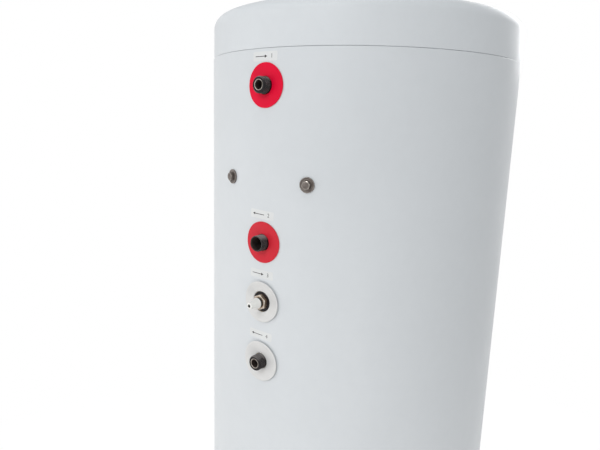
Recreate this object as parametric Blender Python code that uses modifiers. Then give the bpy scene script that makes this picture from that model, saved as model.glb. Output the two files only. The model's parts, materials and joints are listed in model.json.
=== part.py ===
# Floor-standing electric water heater: a dished steel vessel with a coil and a heating
# element, foamed into a round sheet-metal jacket, with its pipe connections in one
# column on one side and its service cover on the other.
#
# Metres, +Z up, origin on the floor at the vessel's axis. The connections face -Y and
# the service cover faces +Y. Pieces that meet keep FIT_GAP between them.

import math

import bmesh
import bpy
from mathutils import Matrix

# Clearances shared by every piece
FIT_GAP = 0.0003
RUNNING_GAP = 0.00008
CUT_OVERRUN = 0.004
MERGE_DISTANCE = 0.00005

# Number of sides of round pieces
TANK_SIDES = 44
PORT_SIDES = 20
SENSOR_SIDES = 18
ROSETTE_SIDES = 24
SMALL_SIDES = 14
BOLT_SIDES = 8

# Outer jacket, lid and base pan
JACKET_DIAMETER = 0.584
JACKET_WALL = 0.0007
BASE_HEIGHT = 0.030
PAN_WALL = 0.0025
PAN_RIM_HEIGHT = 0.018
PAN_LIP_OVERHANG = 0.001
LID_HEIGHT = 0.080
LID_WALL = 0.0025
LID_SKIRT_DEPTH = 0.015
LID_EDGE_RADIUS = 0.022
LID_EDGE_STEPS = 3
LID_CROWN = 0.004

# Pressure vessel with two dished heads, and the foam between it and the jacket
FOAM_THICKNESS = 0.042
VESSEL_WALL = 0.0025
HEAD_DEPTH = 0.070
HEAD_STEPS = 4
HEAD_ABOVE_PAN = 0.015

# Heights of the connections, from centre to centre going up the column
COLD_ABOVE_SEAM_WELD = 0.0625
COIL_OUTLET_ABOVE_COLD = 0.240
RECIRCULATION_ABOVE_COIL_OUTLET = 0.349
SENSOR_ABOVE_RECIRCULATION = 0.108
COIL_INLET_ABOVE_SENSOR = 0.1035
BRACKETS_ABOVE_COIL_INLET = 0.1025
HOT_ABOVE_BRACKETS = 0.151
TOP_WELD_ABOVE_HOT = 0.028
SEAM_ABOVE_HOT = 0.056

# Threaded pipe stubs
STUB_DIAMETER = 0.02644
STUB_REACH = 0.0150
STUB_THICK_BORE = 0.0148
STUB_MOUTH_DIAMETER = 0.0186
STUB_MOUTH_DEPTH = 0.0007
STUB_CHAMFER = 0.0016
STUB_INSIDE_WALL = 0.003
COIL_TUBE_WALL = 0.0019
COIL_STUB_CHAMFER = 0.0005

# Rosettes round the connections
ROSETTE_DIAMETER = 0.070
ROSETTE_THICKNESS = 0.0012
ROSETTE_HOLE_GAP = 0.0008
JACKET_HOLE_MARGIN = 0.006

# Heat-exchanger coil
COIL_TO_VESSEL_WALL = 0.0825
COIL_BEND_RADIUS = 0.050
COIL_TURNS = 8
COIL_POINTS_PER_TURN = 12
COIL_BEND_POINTS = 4

# Pipes inside the vessel
RISER_DIAMETER = 0.0213
RISER_WALL = 0.002
RISER_BEND_RADIUS = 0.040
RISER_OFFSET = 0.100
RISER_TOP_GAP = 0.020
DIFFUSER_OFFSET = 0.085
DIFFUSER_DROP = 0.045
PIPE_BEND_POINTS = 4

# Temperature sensor in its pocket
SOCKET_DIAMETER = 0.0344
SOCKET_BORE = 0.0216
SOCKET_PROUD = 0.0010
POCKET_THREAD_DIAMETER = 0.0209
POCKET_THREAD_LENGTH = 0.015
POCKET_TUBE_DIAMETER = 0.014
POCKET_TUBE_WALL = 0.001
POCKET_CLEAR_OF_COIL = 0.012
SENSOR_NUT_FLATS = 0.024
SENSOR_NUT_HEIGHT = 0.0062
SENSOR_NUT_CHAMFER = 0.0007
SENSOR_NUT_BORE = 0.0200
SENSOR_BORE = 0.0172
SEAL_PROUD = 0.0012
SLEEVE_DIAMETER = 0.0166
SLEEVE_REACH = 0.0315
SLEEVE_NOSE_DIAMETER = 0.0124
SLEEVE_NOSE_ROUNDING = 0.0010
SLEEVE_HOLE = 0.0048

# Bracket bolts beside the column
BRACKET_HALF_SPACING = 0.080
BRACKET_THREAD = 0.008
BRACKET_HEAD_FLATS = 0.013
BRACKET_HEAD_HEIGHT = 0.0053
BRACKET_HEAD_CHAMFER = 0.0006
BRACKET_WASHER_DIAMETER = 0.024
BRACKET_WASHER_THICKNESS = 0.002
BRACKET_BOSS_DIAMETER = 0.018
BRACKET_BOLT_LENGTH = 0.025

# Support ring and levelling feet
RING_INSIDE_VESSEL = 0.075
RING_WALL = 0.003
RING_FLANGE_WIDTH = 0.042
RING_HOLE_GAP = 0.0005
FOOT_COUNT = 3
FOOT_OUTSIDE_RING = 0.021
FOOT_PAD_DIAMETER = 0.052
FOOT_PAD_HEIGHT = 0.009
FOOT_PAD_BEVEL = 0.0015
FOOT_NECK_DIAMETER = 0.027
FOOT_SOCKET_FLOOR = 0.010
STUD_DIAMETER = 0.012
STUD_ABOVE_NUT = 0.020
STUD_NUT_FLATS = 0.018
STUD_NUT_HEIGHT = 0.010
FOAM_CLEAR_OF_RING = 0.005

# Flanged service opening with heating elements and anode
FLANGE_ABOVE_SEAM_WELD = 0.1825
NECK_DIAMETER = 0.128
NECK_WALL = 0.004
NECK_INSIDE_WALL = 0.004
NECK_RIM_WIDTH = 0.018
NECK_RIM_THICKNESS = 0.008
NECK_RIM_SETBACK = 0.012
GASKET_THICKNESS = 0.003
PLATE_THICKNESS = 0.006
FLANGE_BOLT_COUNT = 6
FLANGE_BOLT_FROM_RIM = 0.009
FLANGE_BOLT_DIAMETER = 0.008
ELEMENT_COUNT = 3
ELEMENT_TUBE_DIAMETER = 0.0085
ELEMENT_HALF_WIDTH = 0.014
ELEMENT_CIRCLE_RADIUS = 0.028
ELEMENT_LENGTH = 0.320
ELEMENT_TAIL = 0.007
ELEMENT_BEND_POINTS = 5
TAB_WIDTH = 0.0063
TAB_THICKNESS = 0.0008
TAB_LENGTH = 0.008
ANODE_DIAMETER = 0.022
ANODE_LENGTH = 0.280
ANODE_STUD_DIAMETER = 0.008
ANODE_STUD_TAIL = 0.010
ANODE_NUT_FLATS = 0.013
ANODE_NUT_HEIGHT = 0.006
BULB_POCKET_DIAMETER = 0.010
BULB_POCKET_RADIUS = 0.040
BULB_POCKET_LENGTH = 0.200
BULB_POCKET_TAIL = 0.004

# Service cover and what it carries
COVER_WIDTH = 0.230
COVER_BELOW_FLANGE = 0.110
COVER_ABOVE_FLANGE = 0.230
COVER_WALL = 0.0025
COVER_EDGE_RADIUS = 0.010
COVER_BEVEL_SEGMENTS = 2
CONTROLS_BELOW_COVER_TOP = 0.070
CONTROL_SPACING = 0.058
THERMOSTAT_WIDTH = 0.046
THERMOSTAT_DEPTH = 0.020
THERMOSTAT_BEVEL = 0.002
THERMOSTAT_TO_JACKET = 0.0015
SHAFT_DIAMETER = 0.006
SHAFT_IN_THERMOSTAT = 0.008
SHAFT_IN_KNOB = 0.007
KNOB_DIAMETER = 0.042
KNOB_TOP_DIAMETER = 0.038
KNOB_HEIGHT = 0.010
KNOB_RIM = 0.0012
KNOB_COVER_GAP = 0.0005
KNOB_GRIP_WIDTH = 0.007
KNOB_GRIP_HEIGHT = 0.004
GAUGE_DIAMETER = 0.044
GAUGE_BEZEL_DIAMETER = 0.051
GAUGE_BEZEL_HEIGHT = 0.004
GAUGE_CASE_DEPTH = 0.014
GAUGE_CASE_WALL = 0.0012
GAUGE_DIAL_THICKNESS = 0.0008
GAUGE_DIAL_DEPTH = 0.0040
GAUGE_LENS_THICKNESS = 0.0012
GAUGE_LENS_DEPTH = 0.0008
NEEDLE_LENGTH = 0.0155
NEEDLE_TAIL = 0.005
NEEDLE_WIDTH = 0.0022
NEEDLE_THICKNESS = 0.0006
NEEDLE_HUB_DIAMETER = 0.0052
NEEDLE_PIN_DIAMETER = 0.0022
NEEDLE_PIN_LENGTH = 0.0035
NEEDLE_ABOVE_DIAL = 0.0006
LAMP_DIAMETER = 0.009
LAMP_FLANGE_DIAMETER = 0.012
LAMP_FLANGE_HEIGHT = 0.0012
LAMP_HEIGHT = 0.003
LAMP_DEPTH = 0.016
COVER_SCREW_INSET = 0.017
COVER_SCREW_THREAD = 0.004
COVER_POST_DIAMETER = 0.010
GLAND_FROM_SIDE = 0.035
GLAND_FROM_FRONT = 0.02254
GLAND_TO_JACKET = 0.0014
GLAND_THREAD_DIAMETER = 0.016
GLAND_FLANGE_DIAMETER = 0.0215
GLAND_FLANGE_HEIGHT = 0.004
GLAND_CAP_LENGTH = 0.014
GLAND_CAP_DIAMETER = 0.019
GLAND_MOUTH_DIAMETER = 0.013
GLAND_BORE = 0.0090
GLAND_NUT_FLATS = 0.022
GLAND_NUT_HEIGHT = 0.005

# Values worked out from the sizes above
JACKET_RADIUS = JACKET_DIAMETER / 2
JACKET_INNER_RADIUS = JACKET_RADIUS - JACKET_WALL
LID_RADIUS = JACKET_INNER_RADIUS - FIT_GAP
VESSEL_RADIUS = JACKET_RADIUS - FOAM_THICKNESS
VESSEL_INNER_RADIUS = VESSEL_RADIUS - VESSEL_WALL
PAN_TOP_Z = BASE_HEIGHT + PAN_WALL
PAN_RIM_TOP_Z = BASE_HEIGHT + PAN_RIM_HEIGHT
JACKET_BOTTOM_Z = PAN_TOP_Z + FIT_GAP
SHELL_BOTTOM_Z = PAN_TOP_Z + HEAD_ABOVE_PAN + HEAD_DEPTH
COLD_Z = SHELL_BOTTOM_Z + COLD_ABOVE_SEAM_WELD
COIL_OUTLET_Z = COLD_Z + COIL_OUTLET_ABOVE_COLD
RECIRCULATION_Z = COIL_OUTLET_Z + RECIRCULATION_ABOVE_COIL_OUTLET
SENSOR_Z = RECIRCULATION_Z + SENSOR_ABOVE_RECIRCULATION
COIL_INLET_Z = SENSOR_Z + COIL_INLET_ABOVE_SENSOR
BRACKETS_Z = COIL_INLET_Z + BRACKETS_ABOVE_COIL_INLET
HOT_Z = BRACKETS_Z + HOT_ABOVE_BRACKETS
SHELL_TOP_Z = HOT_Z + TOP_WELD_ABOVE_HOT
SEAM_Z = HOT_Z + SEAM_ABOVE_HOT
LID_TOP_Z = SEAM_Z + LID_HEIGHT
FLANGE_Z = SHELL_BOTTOM_Z + FLANGE_ABOVE_SEAM_WELD
STUB_RADIUS = STUB_DIAMETER / 2
STUB_INNER_END = VESSEL_INNER_RADIUS - STUB_INSIDE_WALL
COIL_RADIUS = VESSEL_INNER_RADIUS - COIL_TO_VESSEL_WALL
RING_RADIUS = VESSEL_RADIUS - RING_INSIDE_VESSEL
FOOT_CIRCLE_RADIUS = RING_RADIUS + FOOT_OUTSIDE_RING
ROSETTE_FACE = JACKET_RADIUS + FIT_GAP + ROSETTE_THICKNESS
STUB_TIP = ROSETTE_FACE + STUB_REACH
COIL_TUBE_BORE = STUB_DIAMETER - 2 * COIL_TUBE_WALL
SOCKET_FACE = JACKET_RADIUS + SOCKET_PROUD
BRACKET_AZIMUTH = math.asin(BRACKET_HALF_SPACING / JACKET_RADIUS)
BRACKET_HEAD_BACK = JACKET_RADIUS + BRACKET_WASHER_THICKNESS + 2 * FIT_GAP
BRACKET_BOLT_TIP = BRACKET_HEAD_BACK - BRACKET_BOLT_LENGTH
FRONT = math.pi
GLAND_X = COVER_WIDTH / 2 - GLAND_FROM_SIDE
GLAND_FROM_AXIS = JACKET_RADIUS + GLAND_TO_JACKET + GLAND_NUT_FLATS / math.sqrt(3)
GLAND_Y = math.sqrt(GLAND_FROM_AXIS ** 2 - GLAND_X ** 2)
THERMOSTAT_INNER_SIDE = CONTROL_SPACING - THERMOSTAT_WIDTH / 2
THERMOSTAT_BACK = math.sqrt(JACKET_RADIUS ** 2 - THERMOSTAT_INNER_SIDE ** 2) + THERMOSTAT_TO_JACKET
THERMOSTAT_FRONT = THERMOSTAT_BACK + THERMOSTAT_DEPTH + FIT_GAP
COVER_FRONT = max(GLAND_Y + GLAND_FROM_FRONT, THERMOSTAT_FRONT + COVER_WALL)
COVER_INNER_FRONT = COVER_FRONT - COVER_WALL
COVER_BOTTOM_Z = FLANGE_Z - COVER_BELOW_FLANGE
COVER_TOP_Z = FLANGE_Z + COVER_ABOVE_FLANGE
CONTROLS_Z = COVER_TOP_Z - CONTROLS_BELOW_COVER_TOP
NECK_RIM_FACE = JACKET_RADIUS - NECK_RIM_SETBACK
NECK_RIM_DIAMETER = NECK_DIAMETER + 2 * NECK_RIM_WIDTH
FLANGE_BOLT_CIRCLE = NECK_RIM_DIAMETER - 2 * FLANGE_BOLT_FROM_RIM
GASKET_FACE = NECK_RIM_FACE + FIT_GAP + GASKET_THICKNESS
PLATE_BACK = GASKET_FACE + FIT_GAP
PLATE_FACE = PLATE_BACK + PLATE_THICKNESS

parts_collection = None
cutters_collection = None
materials = {}


def start_scene():
    global parts_collection, cutters_collection
    for obj in list(bpy.data.objects):
        bpy.data.objects.remove(obj)
    parts_collection = bpy.data.collections.new("water_heater")
    cutters_collection = bpy.data.collections.new("cutters")
    for collection in (parts_collection, cutters_collection):
        bpy.context.scene.collection.children.link(collection)


def linear(value):
    share = value / 255
    return share / 12.92 if share <= 0.04045 else ((share + 0.055) / 1.055) ** 2.4


def material(name, red, green, blue, roughness, metallic=0.0):
    if name not in materials:
        made = bpy.data.materials.new(name)
        made.use_nodes = True
        shader = made.node_tree.nodes["Principled BSDF"]
        colour = (linear(red), linear(green), linear(blue), 1.0)
        shader.inputs["Base Color"].default_value = colour
        shader.inputs["Roughness"].default_value = roughness
        shader.inputs["Metallic"].default_value = metallic
        made.diffuse_color = colour
        materials[name] = made
    return materials[name]


def jacket_paint():
    return material("jacket_paint", 224, 228, 231, 0.35)


def lid_plastic():
    return material("lid_plastic", 222, 226, 229, 0.42)


def white_plastic():
    return material("white_plastic", 226, 226, 223, 0.40)


def red_plastic():
    return material("red_plastic", 214, 24, 48, 0.35)


def blue_plastic():
    return material("blue_plastic", 30, 92, 180, 0.35)


def black_plastic():
    return material("black_plastic", 34, 34, 36, 0.50)


def grey_plastic():
    return material("grey_plastic", 120, 124, 128, 0.45)


def black_rubber():
    return material("black_rubber", 26, 24, 24, 0.70)


def dark_steel():
    return material("dark_steel", 70, 66, 66, 0.42, 0.7)


def enamel_steel():
    return material("enamel_steel", 60, 84, 120, 0.30)


def plain_steel():
    return material("plain_steel", 150, 146, 142, 0.38, 0.9)


def zinc_steel():
    return material("zinc_steel", 168, 164, 158, 0.34, 1.0)


def stainless_steel():
    return material("stainless_steel", 178, 178, 176, 0.28, 1.0)


def brass_metal():
    return material("brass_metal", 200, 162, 106, 0.22, 1.0)


def magnesium():
    return material("magnesium", 160, 162, 164, 0.60, 0.8)


def foam():
    return material("foam", 236, 214, 150, 0.90)


def lens_glass():
    return material("lens_glass", 235, 240, 242, 0.05)


def dial_card():
    return material("dial_card", 240, 240, 238, 0.50)


def red_lamp():
    return material("red_lamp", 200, 28, 26, 0.15)


def add_object(name, mesh, finish=None):
    obj = bpy.data.objects.new(name, mesh)
    if finish is None:
        cutters_collection.objects.link(obj)
        obj.hide_render = True
        obj.display_type = "WIRE"
    else:
        parts_collection.objects.link(obj)
        mesh.materials.clear()
        mesh.materials.append(finish)
    return obj


def turned(name, profile, sides, finish=None, closed=True):
    """Revolves (radius, height) points, which run down the outer side, about local Z."""
    mesh = bpy.data.meshes.new(name)
    points = [(radius, 0, height) for radius, height in profile]
    edges = [(i, i + 1) for i in range(len(points) - 1)]
    if closed:
        edges.append((len(points) - 1, 0))
    mesh.from_pydata(points, edges, [])
    obj = add_object(name, mesh, finish)
    screw = obj.modifiers.new("turn", "SCREW")
    screw.steps = screw.render_steps = sides
    screw.use_merge_vertices = True
    screw.merge_threshold = MERGE_DISTANCE
    return obj


def prism(name, radius, start, end, sides, finish=None):
    """A cylinder, or with six sides a hexagon, along local Z from start to end."""
    mesh = bpy.data.meshes.new(name)
    shape = bmesh.new()
    middle = Matrix.Translation((0, 0, (start + end) / 2))
    bmesh.ops.create_cone(
        shape, cap_ends=True, segments=sides, radius1=radius, radius2=radius,
        depth=end - start, matrix=middle,
    )
    shape.to_mesh(mesh)
    shape.free()
    return add_object(name, mesh, finish)


def box(name, low, high, finish=None):
    mesh = bpy.data.meshes.new(name)
    shape = bmesh.new()
    bmesh.ops.create_cube(shape, size=1)
    for vert in shape.verts:
        for axis in range(3):
            vert.co[axis] = high[axis] if vert.co[axis] > 0 else low[axis]
    shape.to_mesh(mesh)
    shape.free()
    return add_object(name, mesh, finish)


def hexagon(flats):
    return flats / 2 / math.cos(math.pi / 6)


def clear_bore(radius, clearance, sides):
    """Corner radius of a many-sided bore whose flats clear a pin of this radius."""
    return (radius + clearance) / math.cos(math.pi / sides)


def bevel(obj, width, segments=1, angle=30):
    rounding = obj.modifiers.new("bevel", "BEVEL")
    rounding.width = width
    rounding.segments = segments
    rounding.limit_method = "ANGLE"
    rounding.angle_limit = math.radians(angle)


def cut(obj, cutter):
    boolean = obj.modifiers.new("cut", "BOOLEAN")
    boolean.operation = "DIFFERENCE"
    boolean.object = cutter


def unite(obj, other):
    boolean = obj.modifiers.new("join", "BOOLEAN")
    boolean.operation = "UNION"
    boolean.object = other


def evaluated_mesh(obj):
    bpy.context.view_layer.update()
    seen = obj.evaluated_get(bpy.context.evaluated_depsgraph_get())
    return bpy.data.meshes.new_from_object(seen)


def bake(obj, smooth_below=35):
    """Applies the modifiers and shades round faces smooth."""
    mesh = evaluated_mesh(obj)
    obj.modifiers.clear()
    obj.data = mesh
    mesh.name = obj.name
    mesh.shade_smooth()
    mesh.set_sharp_from_angle(angle=math.radians(smooth_below))
    return obj


def face_out(obj, azimuth, height, aside=0, above=0):
    """Turns local Z outwards. Azimuth 0 is -Y and grows towards +X; aside is local X."""
    obj.rotation_euler = (math.pi / 2, 0, azimuth)
    obj.location = (aside * math.cos(azimuth), aside * math.sin(azimuth), height + above)
    return obj


def radial_cutter(name, radius, azimuth, height, start, end, sides, aside=0, above=0):
    """A cutter turned half a side, so that its corners miss the corners that it cuts."""
    cutter = prism(name, radius, start, end, sides)
    cutter.data.transform(Matrix.Rotation(math.pi / sides, 4, "Z"))
    return face_out(cutter, azimuth, height, aside, above)


def tube(name, points, radius, finish, wall=None, resolution=1):
    """A round tube along points, hollow where a wall is given."""
    curve = bpy.data.curves.new(name, "CURVE")
    curve.dimensions = "3D"
    curve.bevel_depth = radius
    curve.bevel_resolution = resolution
    curve.use_fill_caps = wall is None
    spline = curve.splines.new("POLY")
    spline.points.add(len(points) - 1)
    for point, place in zip(spline.points, points):
        point.co = (*place, 1)
    guide = bpy.data.objects.new(name, curve)
    cutters_collection.objects.link(guide)
    mesh = evaluated_mesh(guide)
    bpy.data.objects.remove(guide)
    shape = bmesh.new()
    shape.from_mesh(mesh)
    bmesh.ops.remove_doubles(shape, verts=shape.verts, dist=MERGE_DISTANCE)
    shape.to_mesh(mesh)
    shape.free()
    mesh.name = name
    obj = add_object(name, mesh, finish)
    if wall is not None:
        shell = obj.modifiers.new("wall", "SOLIDIFY")
        shell.thickness = wall
        shell.offset = -1
    return obj


def arc(centre_r, centre_z, radius, start, end, steps):
    """Points of an arc in degrees, 0 pointing outwards and 90 up."""
    angles = [math.radians(start + (end - start) * i / steps) for i in range(steps + 1)]
    return [(centre_r + radius * math.cos(a), centre_z + radius * math.sin(a)) for a in angles]


def head_points(radius, depth):
    """Half of a dished head's outline, from its crown down to its rim."""
    turns = [math.pi / 2 * (1 - i / HEAD_STEPS) for i in range(HEAD_STEPS + 1)]
    points = [(radius * math.cos(t), depth * math.sin(t)) for t in turns]
    points[0] = (0, depth)
    points[-1] = (radius, 0)
    return points


def head_height_at(radius, points):
    for (r0, h0), (r1, h1) in zip(points, points[1:]):
        if r0 <= radius <= r1:
            return h0 + (h1 - h0) * (radius - r0) / (r1 - r0)
    return 0


def head_radius_at(height, points):
    for (r0, h0), (r1, h1) in zip(points, points[1:]):
        if h1 <= height <= h0:
            return r0 + (r1 - r0) * (h0 - height) / (h0 - h1)
    return points[-1][0]


OUTER_HEAD = head_points(VESSEL_RADIUS, HEAD_DEPTH)
HEAD_BED = [(r * (1 + FIT_GAP / VESSEL_RADIUS), h + 2 * FIT_GAP) for r, h in OUTER_HEAD]


def ports():
    """Name, height, radius and jacket-side rosette hole of each connection."""
    stub = STUB_RADIUS
    return [
        ("hot_water_outlet", HOT_Z, stub),
        ("coil_inlet", COIL_INLET_Z, stub),
        ("temperature_sensor", SENSOR_Z, SOCKET_DIAMETER / 2),
        ("recirculation", RECIRCULATION_Z, stub),
        ("coil_outlet", COIL_OUTLET_Z, stub),
        ("cold_water_inlet", COLD_Z, stub),
    ]


# Jacket, lid, base pan and insulation


def outer_jacket():
    profile = [
        (JACKET_RADIUS, SEAM_Z),
        (JACKET_RADIUS, JACKET_BOTTOM_Z),
        (JACKET_INNER_RADIUS, JACKET_BOTTOM_Z),
        (JACKET_INNER_RADIUS, SEAM_Z),
    ]
    jacket = turned("outer_jacket", profile, TANK_SIDES, jacket_paint())
    start = JACKET_INNER_RADIUS - 2 * CUT_OVERRUN
    end = JACKET_RADIUS + CUT_OVERRUN
    for name, height, radius in ports():
        hole = radius + JACKET_HOLE_MARGIN
        cut(jacket, radial_cutter(f"{name}_jacket_hole", hole, 0, height, start, end, SMALL_SIDES))
    hole = clear_bore(BRACKET_BOSS_DIAMETER / 2, FIT_GAP, SMALL_SIDES)
    for side in (-1, 1):
        azimuth = side * BRACKET_AZIMUTH
        cut(jacket, radial_cutter("boss_hole", hole, azimuth, BRACKETS_Z, start, end, SMALL_SIDES))
    opening = NECK_RIM_DIAMETER / 2 + JACKET_HOLE_MARGIN
    inner = math.sqrt(JACKET_INNER_RADIUS ** 2 - opening ** 2) - CUT_OVERRUN
    cut(jacket, radial_cutter("service_hole", opening, FRONT, FLANGE_Z, inner, end, ROSETTE_SIDES))
    return bake(jacket)


def top_lid():
    """A round cap whose skirt tucks into the jacket's upper end."""
    edge_z = LID_TOP_Z - LID_CROWN - LID_EDGE_RADIUS
    edge_r = LID_RADIUS - LID_EDGE_RADIUS
    inner_edge = LID_EDGE_RADIUS - LID_WALL
    inner = LID_RADIUS - LID_WALL
    profile = [(0, LID_TOP_Z)]
    profile += reversed(arc(edge_r, edge_z, LID_EDGE_RADIUS, 0, 90, LID_EDGE_STEPS))
    profile += [
        (LID_RADIUS, SEAM_Z - LID_SKIRT_DEPTH),
        (inner, SEAM_Z - LID_SKIRT_DEPTH),
        (inner, edge_z),
        (inner - inner_edge, edge_z + inner_edge),
        (0, LID_TOP_Z - LID_WALL),
    ]
    return bake(turned("top_lid", profile, TANK_SIDES, lid_plastic(), closed=False))


def foot_azimuths():
    return [2 * math.pi * (i + 0.5) / FOOT_COUNT for i in range(FOOT_COUNT)]


def at_foot(obj, azimuth):
    across, along = math.sin(azimuth), -math.cos(azimuth)
    obj.location = (FOOT_CIRCLE_RADIUS * across, FOOT_CIRCLE_RADIUS * along, 0)
    return obj


def cut_stud_holes(obj, gap, start, end):
    radius = clear_bore(STUD_DIAMETER / 2, gap, SMALL_SIDES)
    for azimuth in foot_azimuths():
        cut(obj, at_foot(prism(f"{obj.name}_stud_hole", radius, start, end, SMALL_SIDES), azimuth))


def base_pan():
    rim = JACKET_INNER_RADIUS - FIT_GAP
    lip = JACKET_RADIUS + PAN_LIP_OVERHANG
    profile = [
        (0, PAN_TOP_Z),
        (rim - PAN_WALL, PAN_TOP_Z),
        (rim - PAN_WALL, PAN_RIM_TOP_Z),
        (rim, PAN_RIM_TOP_Z),
        (rim, PAN_TOP_Z),
        (lip, PAN_TOP_Z),
        (lip, BASE_HEIGHT),
        (0, BASE_HEIGHT),
    ]
    pan = turned("base_pan", profile, TANK_SIDES, black_plastic(), closed=False)
    cut_stud_holes(pan, RING_HOLE_GAP, BASE_HEIGHT - CUT_OVERRUN, PAN_TOP_Z + CUT_OVERRUN)
    return bake(pan)


def foam_jacket():
    """Rigid foam between vessel and jacket, from the base pan up to the lid's seam."""
    outer = JACKET_INNER_RADIUS - FIT_GAP
    lid_skirt = LID_RADIUS - LID_WALL - FIT_GAP
    skirt_bottom = SEAM_Z - LID_SKIRT_DEPTH - FIT_GAP
    bottom = PAN_RIM_TOP_Z + FIT_GAP
    skirt = RING_RADIUS + RING_FLANGE_WIDTH + FOAM_CLEAR_OF_RING
    bed_radius = VESSEL_RADIUS + FIT_GAP
    split = SEAM_Z - SHELL_TOP_Z
    below = [(r, SHELL_BOTTOM_Z - h) for r, h in HEAD_BED if r > skirt]
    above = [(r, SHELL_TOP_Z + h) for r, h in reversed(HEAD_BED) if h < split]
    profile = [
        (lid_skirt, SEAM_Z),
        (lid_skirt, skirt_bottom),
        (outer, skirt_bottom),
        (outer, bottom),
        (skirt, bottom),
        (skirt, SHELL_BOTTOM_Z - head_height_at(skirt, HEAD_BED)),
        *below,
        *above,
        (head_radius_at(split, HEAD_BED), SEAM_Z),
    ]
    foam_body = turned("foam_jacket", profile, TANK_SIDES, foam())
    start, end = bed_radius - 4 * CUT_OVERRUN, outer + CUT_OVERRUN
    for name, height, radius in ports():
        hole = clear_bore(radius, FIT_GAP, BOLT_SIDES)
        cut(foam_body, radial_cutter(f"{name}_foam_hole", hole, 0, height, start, end, BOLT_SIDES))
    hole = clear_bore(BRACKET_BOSS_DIAMETER / 2, FIT_GAP, BOLT_SIDES)
    for side in (-1, 1):
        azimuth = side * BRACKET_AZIMUTH
        cutter = radial_cutter("boss_foam_hole", hole, azimuth, BRACKETS_Z, start, end, BOLT_SIDES)
        cut(foam_body, cutter)
    opening = NECK_RIM_DIAMETER / 2 + JACKET_HOLE_MARGIN
    cutter = radial_cutter("neck_foam_hole", opening, FRONT, FLANGE_Z, start, end, ROSETTE_SIDES)
    cut(foam_body, cutter)
    return bake(foam_body)


def lid_foam():
    """Foam cap over the upper head, filling the lid."""
    outer = LID_RADIUS - LID_WALL - FIT_GAP
    edge = LID_EDGE_RADIUS
    top = LID_TOP_Z - LID_WALL - LID_CROWN - FIT_GAP
    split = SEAM_Z - SHELL_TOP_Z
    bottom = SEAM_Z + FIT_GAP
    inside = head_radius_at(split + FIT_GAP, HEAD_BED)
    bed = [(r, SHELL_TOP_Z + h) for r, h in reversed(HEAD_BED) if h > split + FIT_GAP]
    profile = [
        (0, top),
        (outer - edge, top),
        (outer, top - edge),
        (outer, bottom),
        (inside, bottom),
        *bed,
    ]
    return bake(turned("lid_foam", profile, TANK_SIDES, foam(), closed=False))


# Pressure vessel


def bracket_bosses():
    """Threaded bosses, welded to the shell, that reach out to the jacket's face."""
    bore = clear_bore(BRACKET_THREAD / 2, FIT_GAP, SMALL_SIDES)
    boss, root = BRACKET_BOSS_DIAMETER / 2, VESSEL_RADIUS - VESSEL_WALL / 2
    profile = [
        (0, BRACKET_BOLT_TIP - FIT_GAP),
        (bore, BRACKET_BOLT_TIP - FIT_GAP),
        (bore, JACKET_RADIUS),
        (boss, JACKET_RADIUS),
        (boss, root),
        (0, root),
    ]
    bosses = []
    for side in (-1, 1):
        made = turned("bracket_boss", profile, SMALL_SIDES, closed=False)
        bosses.append(face_out(made, side * BRACKET_AZIMUTH, BRACKETS_Z))
    return bosses


def vessel_shell():
    profile = [
        (VESSEL_RADIUS, SHELL_TOP_Z),
        (VESSEL_RADIUS, SHELL_BOTTOM_Z),
        (VESSEL_INNER_RADIUS, SHELL_BOTTOM_Z),
        (VESSEL_INNER_RADIUS, SHELL_TOP_Z),
    ]
    shell = turned("vessel_shell", profile, TANK_SIDES, enamel_steel())
    for boss in bracket_bosses():
        unite(shell, boss)
    start = VESSEL_INNER_RADIUS - 2 * CUT_OVERRUN
    end = VESSEL_RADIUS + CUT_OVERRUN
    for name, height, radius in ports():
        hole = clear_bore(radius, FIT_GAP, SMALL_SIDES)
        cut(shell, radial_cutter(f"{name}_shell_hole", hole, 0, height, start, end, SMALL_SIDES))
    start -= 2 * CUT_OVERRUN
    hole = clear_bore(NECK_DIAMETER / 2, FIT_GAP, ROSETTE_SIDES)
    cutter = radial_cutter("neck_shell_hole", hole, FRONT, FLANGE_Z, start, end, ROSETTE_SIDES)
    cut(shell, cutter)
    return bake(shell)


def dished_heads():
    inner = head_points(VESSEL_INNER_RADIUS, HEAD_DEPTH - VESSEL_WALL)
    rim = FIT_GAP
    upper = [(r, h + rim) for r, h in OUTER_HEAD + inner[::-1]]
    lower = [(r, -h - rim) for r, h in inner + OUTER_HEAD[::-1]]
    top = turned("top_head", upper, TANK_SIDES, enamel_steel(), closed=False)
    top.location.z = SHELL_TOP_Z
    bottom = turned("bottom_head", lower, TANK_SIDES, enamel_steel(), closed=False)
    bottom.location.z = SHELL_BOTTOM_Z
    return bake(top), bake(bottom)


# Connections


def thick_stub(name, height):
    """Heavy-walled threaded stub with a machined sealing mouth."""
    bore, mouth = STUB_THICK_BORE / 2, STUB_MOUTH_DIAMETER / 2
    profile = [
        (mouth, STUB_TIP),
        (STUB_RADIUS - STUB_CHAMFER, STUB_TIP),
        (STUB_RADIUS, STUB_TIP - STUB_CHAMFER),
        (STUB_RADIUS, STUB_INNER_END),
        (bore, STUB_INNER_END),
        (bore, STUB_TIP - STUB_MOUTH_DEPTH),
    ]
    return bake(face_out(turned(name, profile, PORT_SIDES, dark_steel()), 0, height))


def coil_stub(name, height):
    """Thin-walled threaded end of the heat-exchanger tube."""
    bore = COIL_TUBE_BORE / 2
    profile = [
        (bore, STUB_TIP),
        (STUB_RADIUS - COIL_STUB_CHAMFER, STUB_TIP),
        (STUB_RADIUS, STUB_TIP - COIL_STUB_CHAMFER),
        (STUB_RADIUS, STUB_INNER_END),
        (bore, STUB_INNER_END),
    ]
    return bake(face_out(turned(name, profile, PORT_SIDES, dark_steel()), 0, height))


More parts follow.
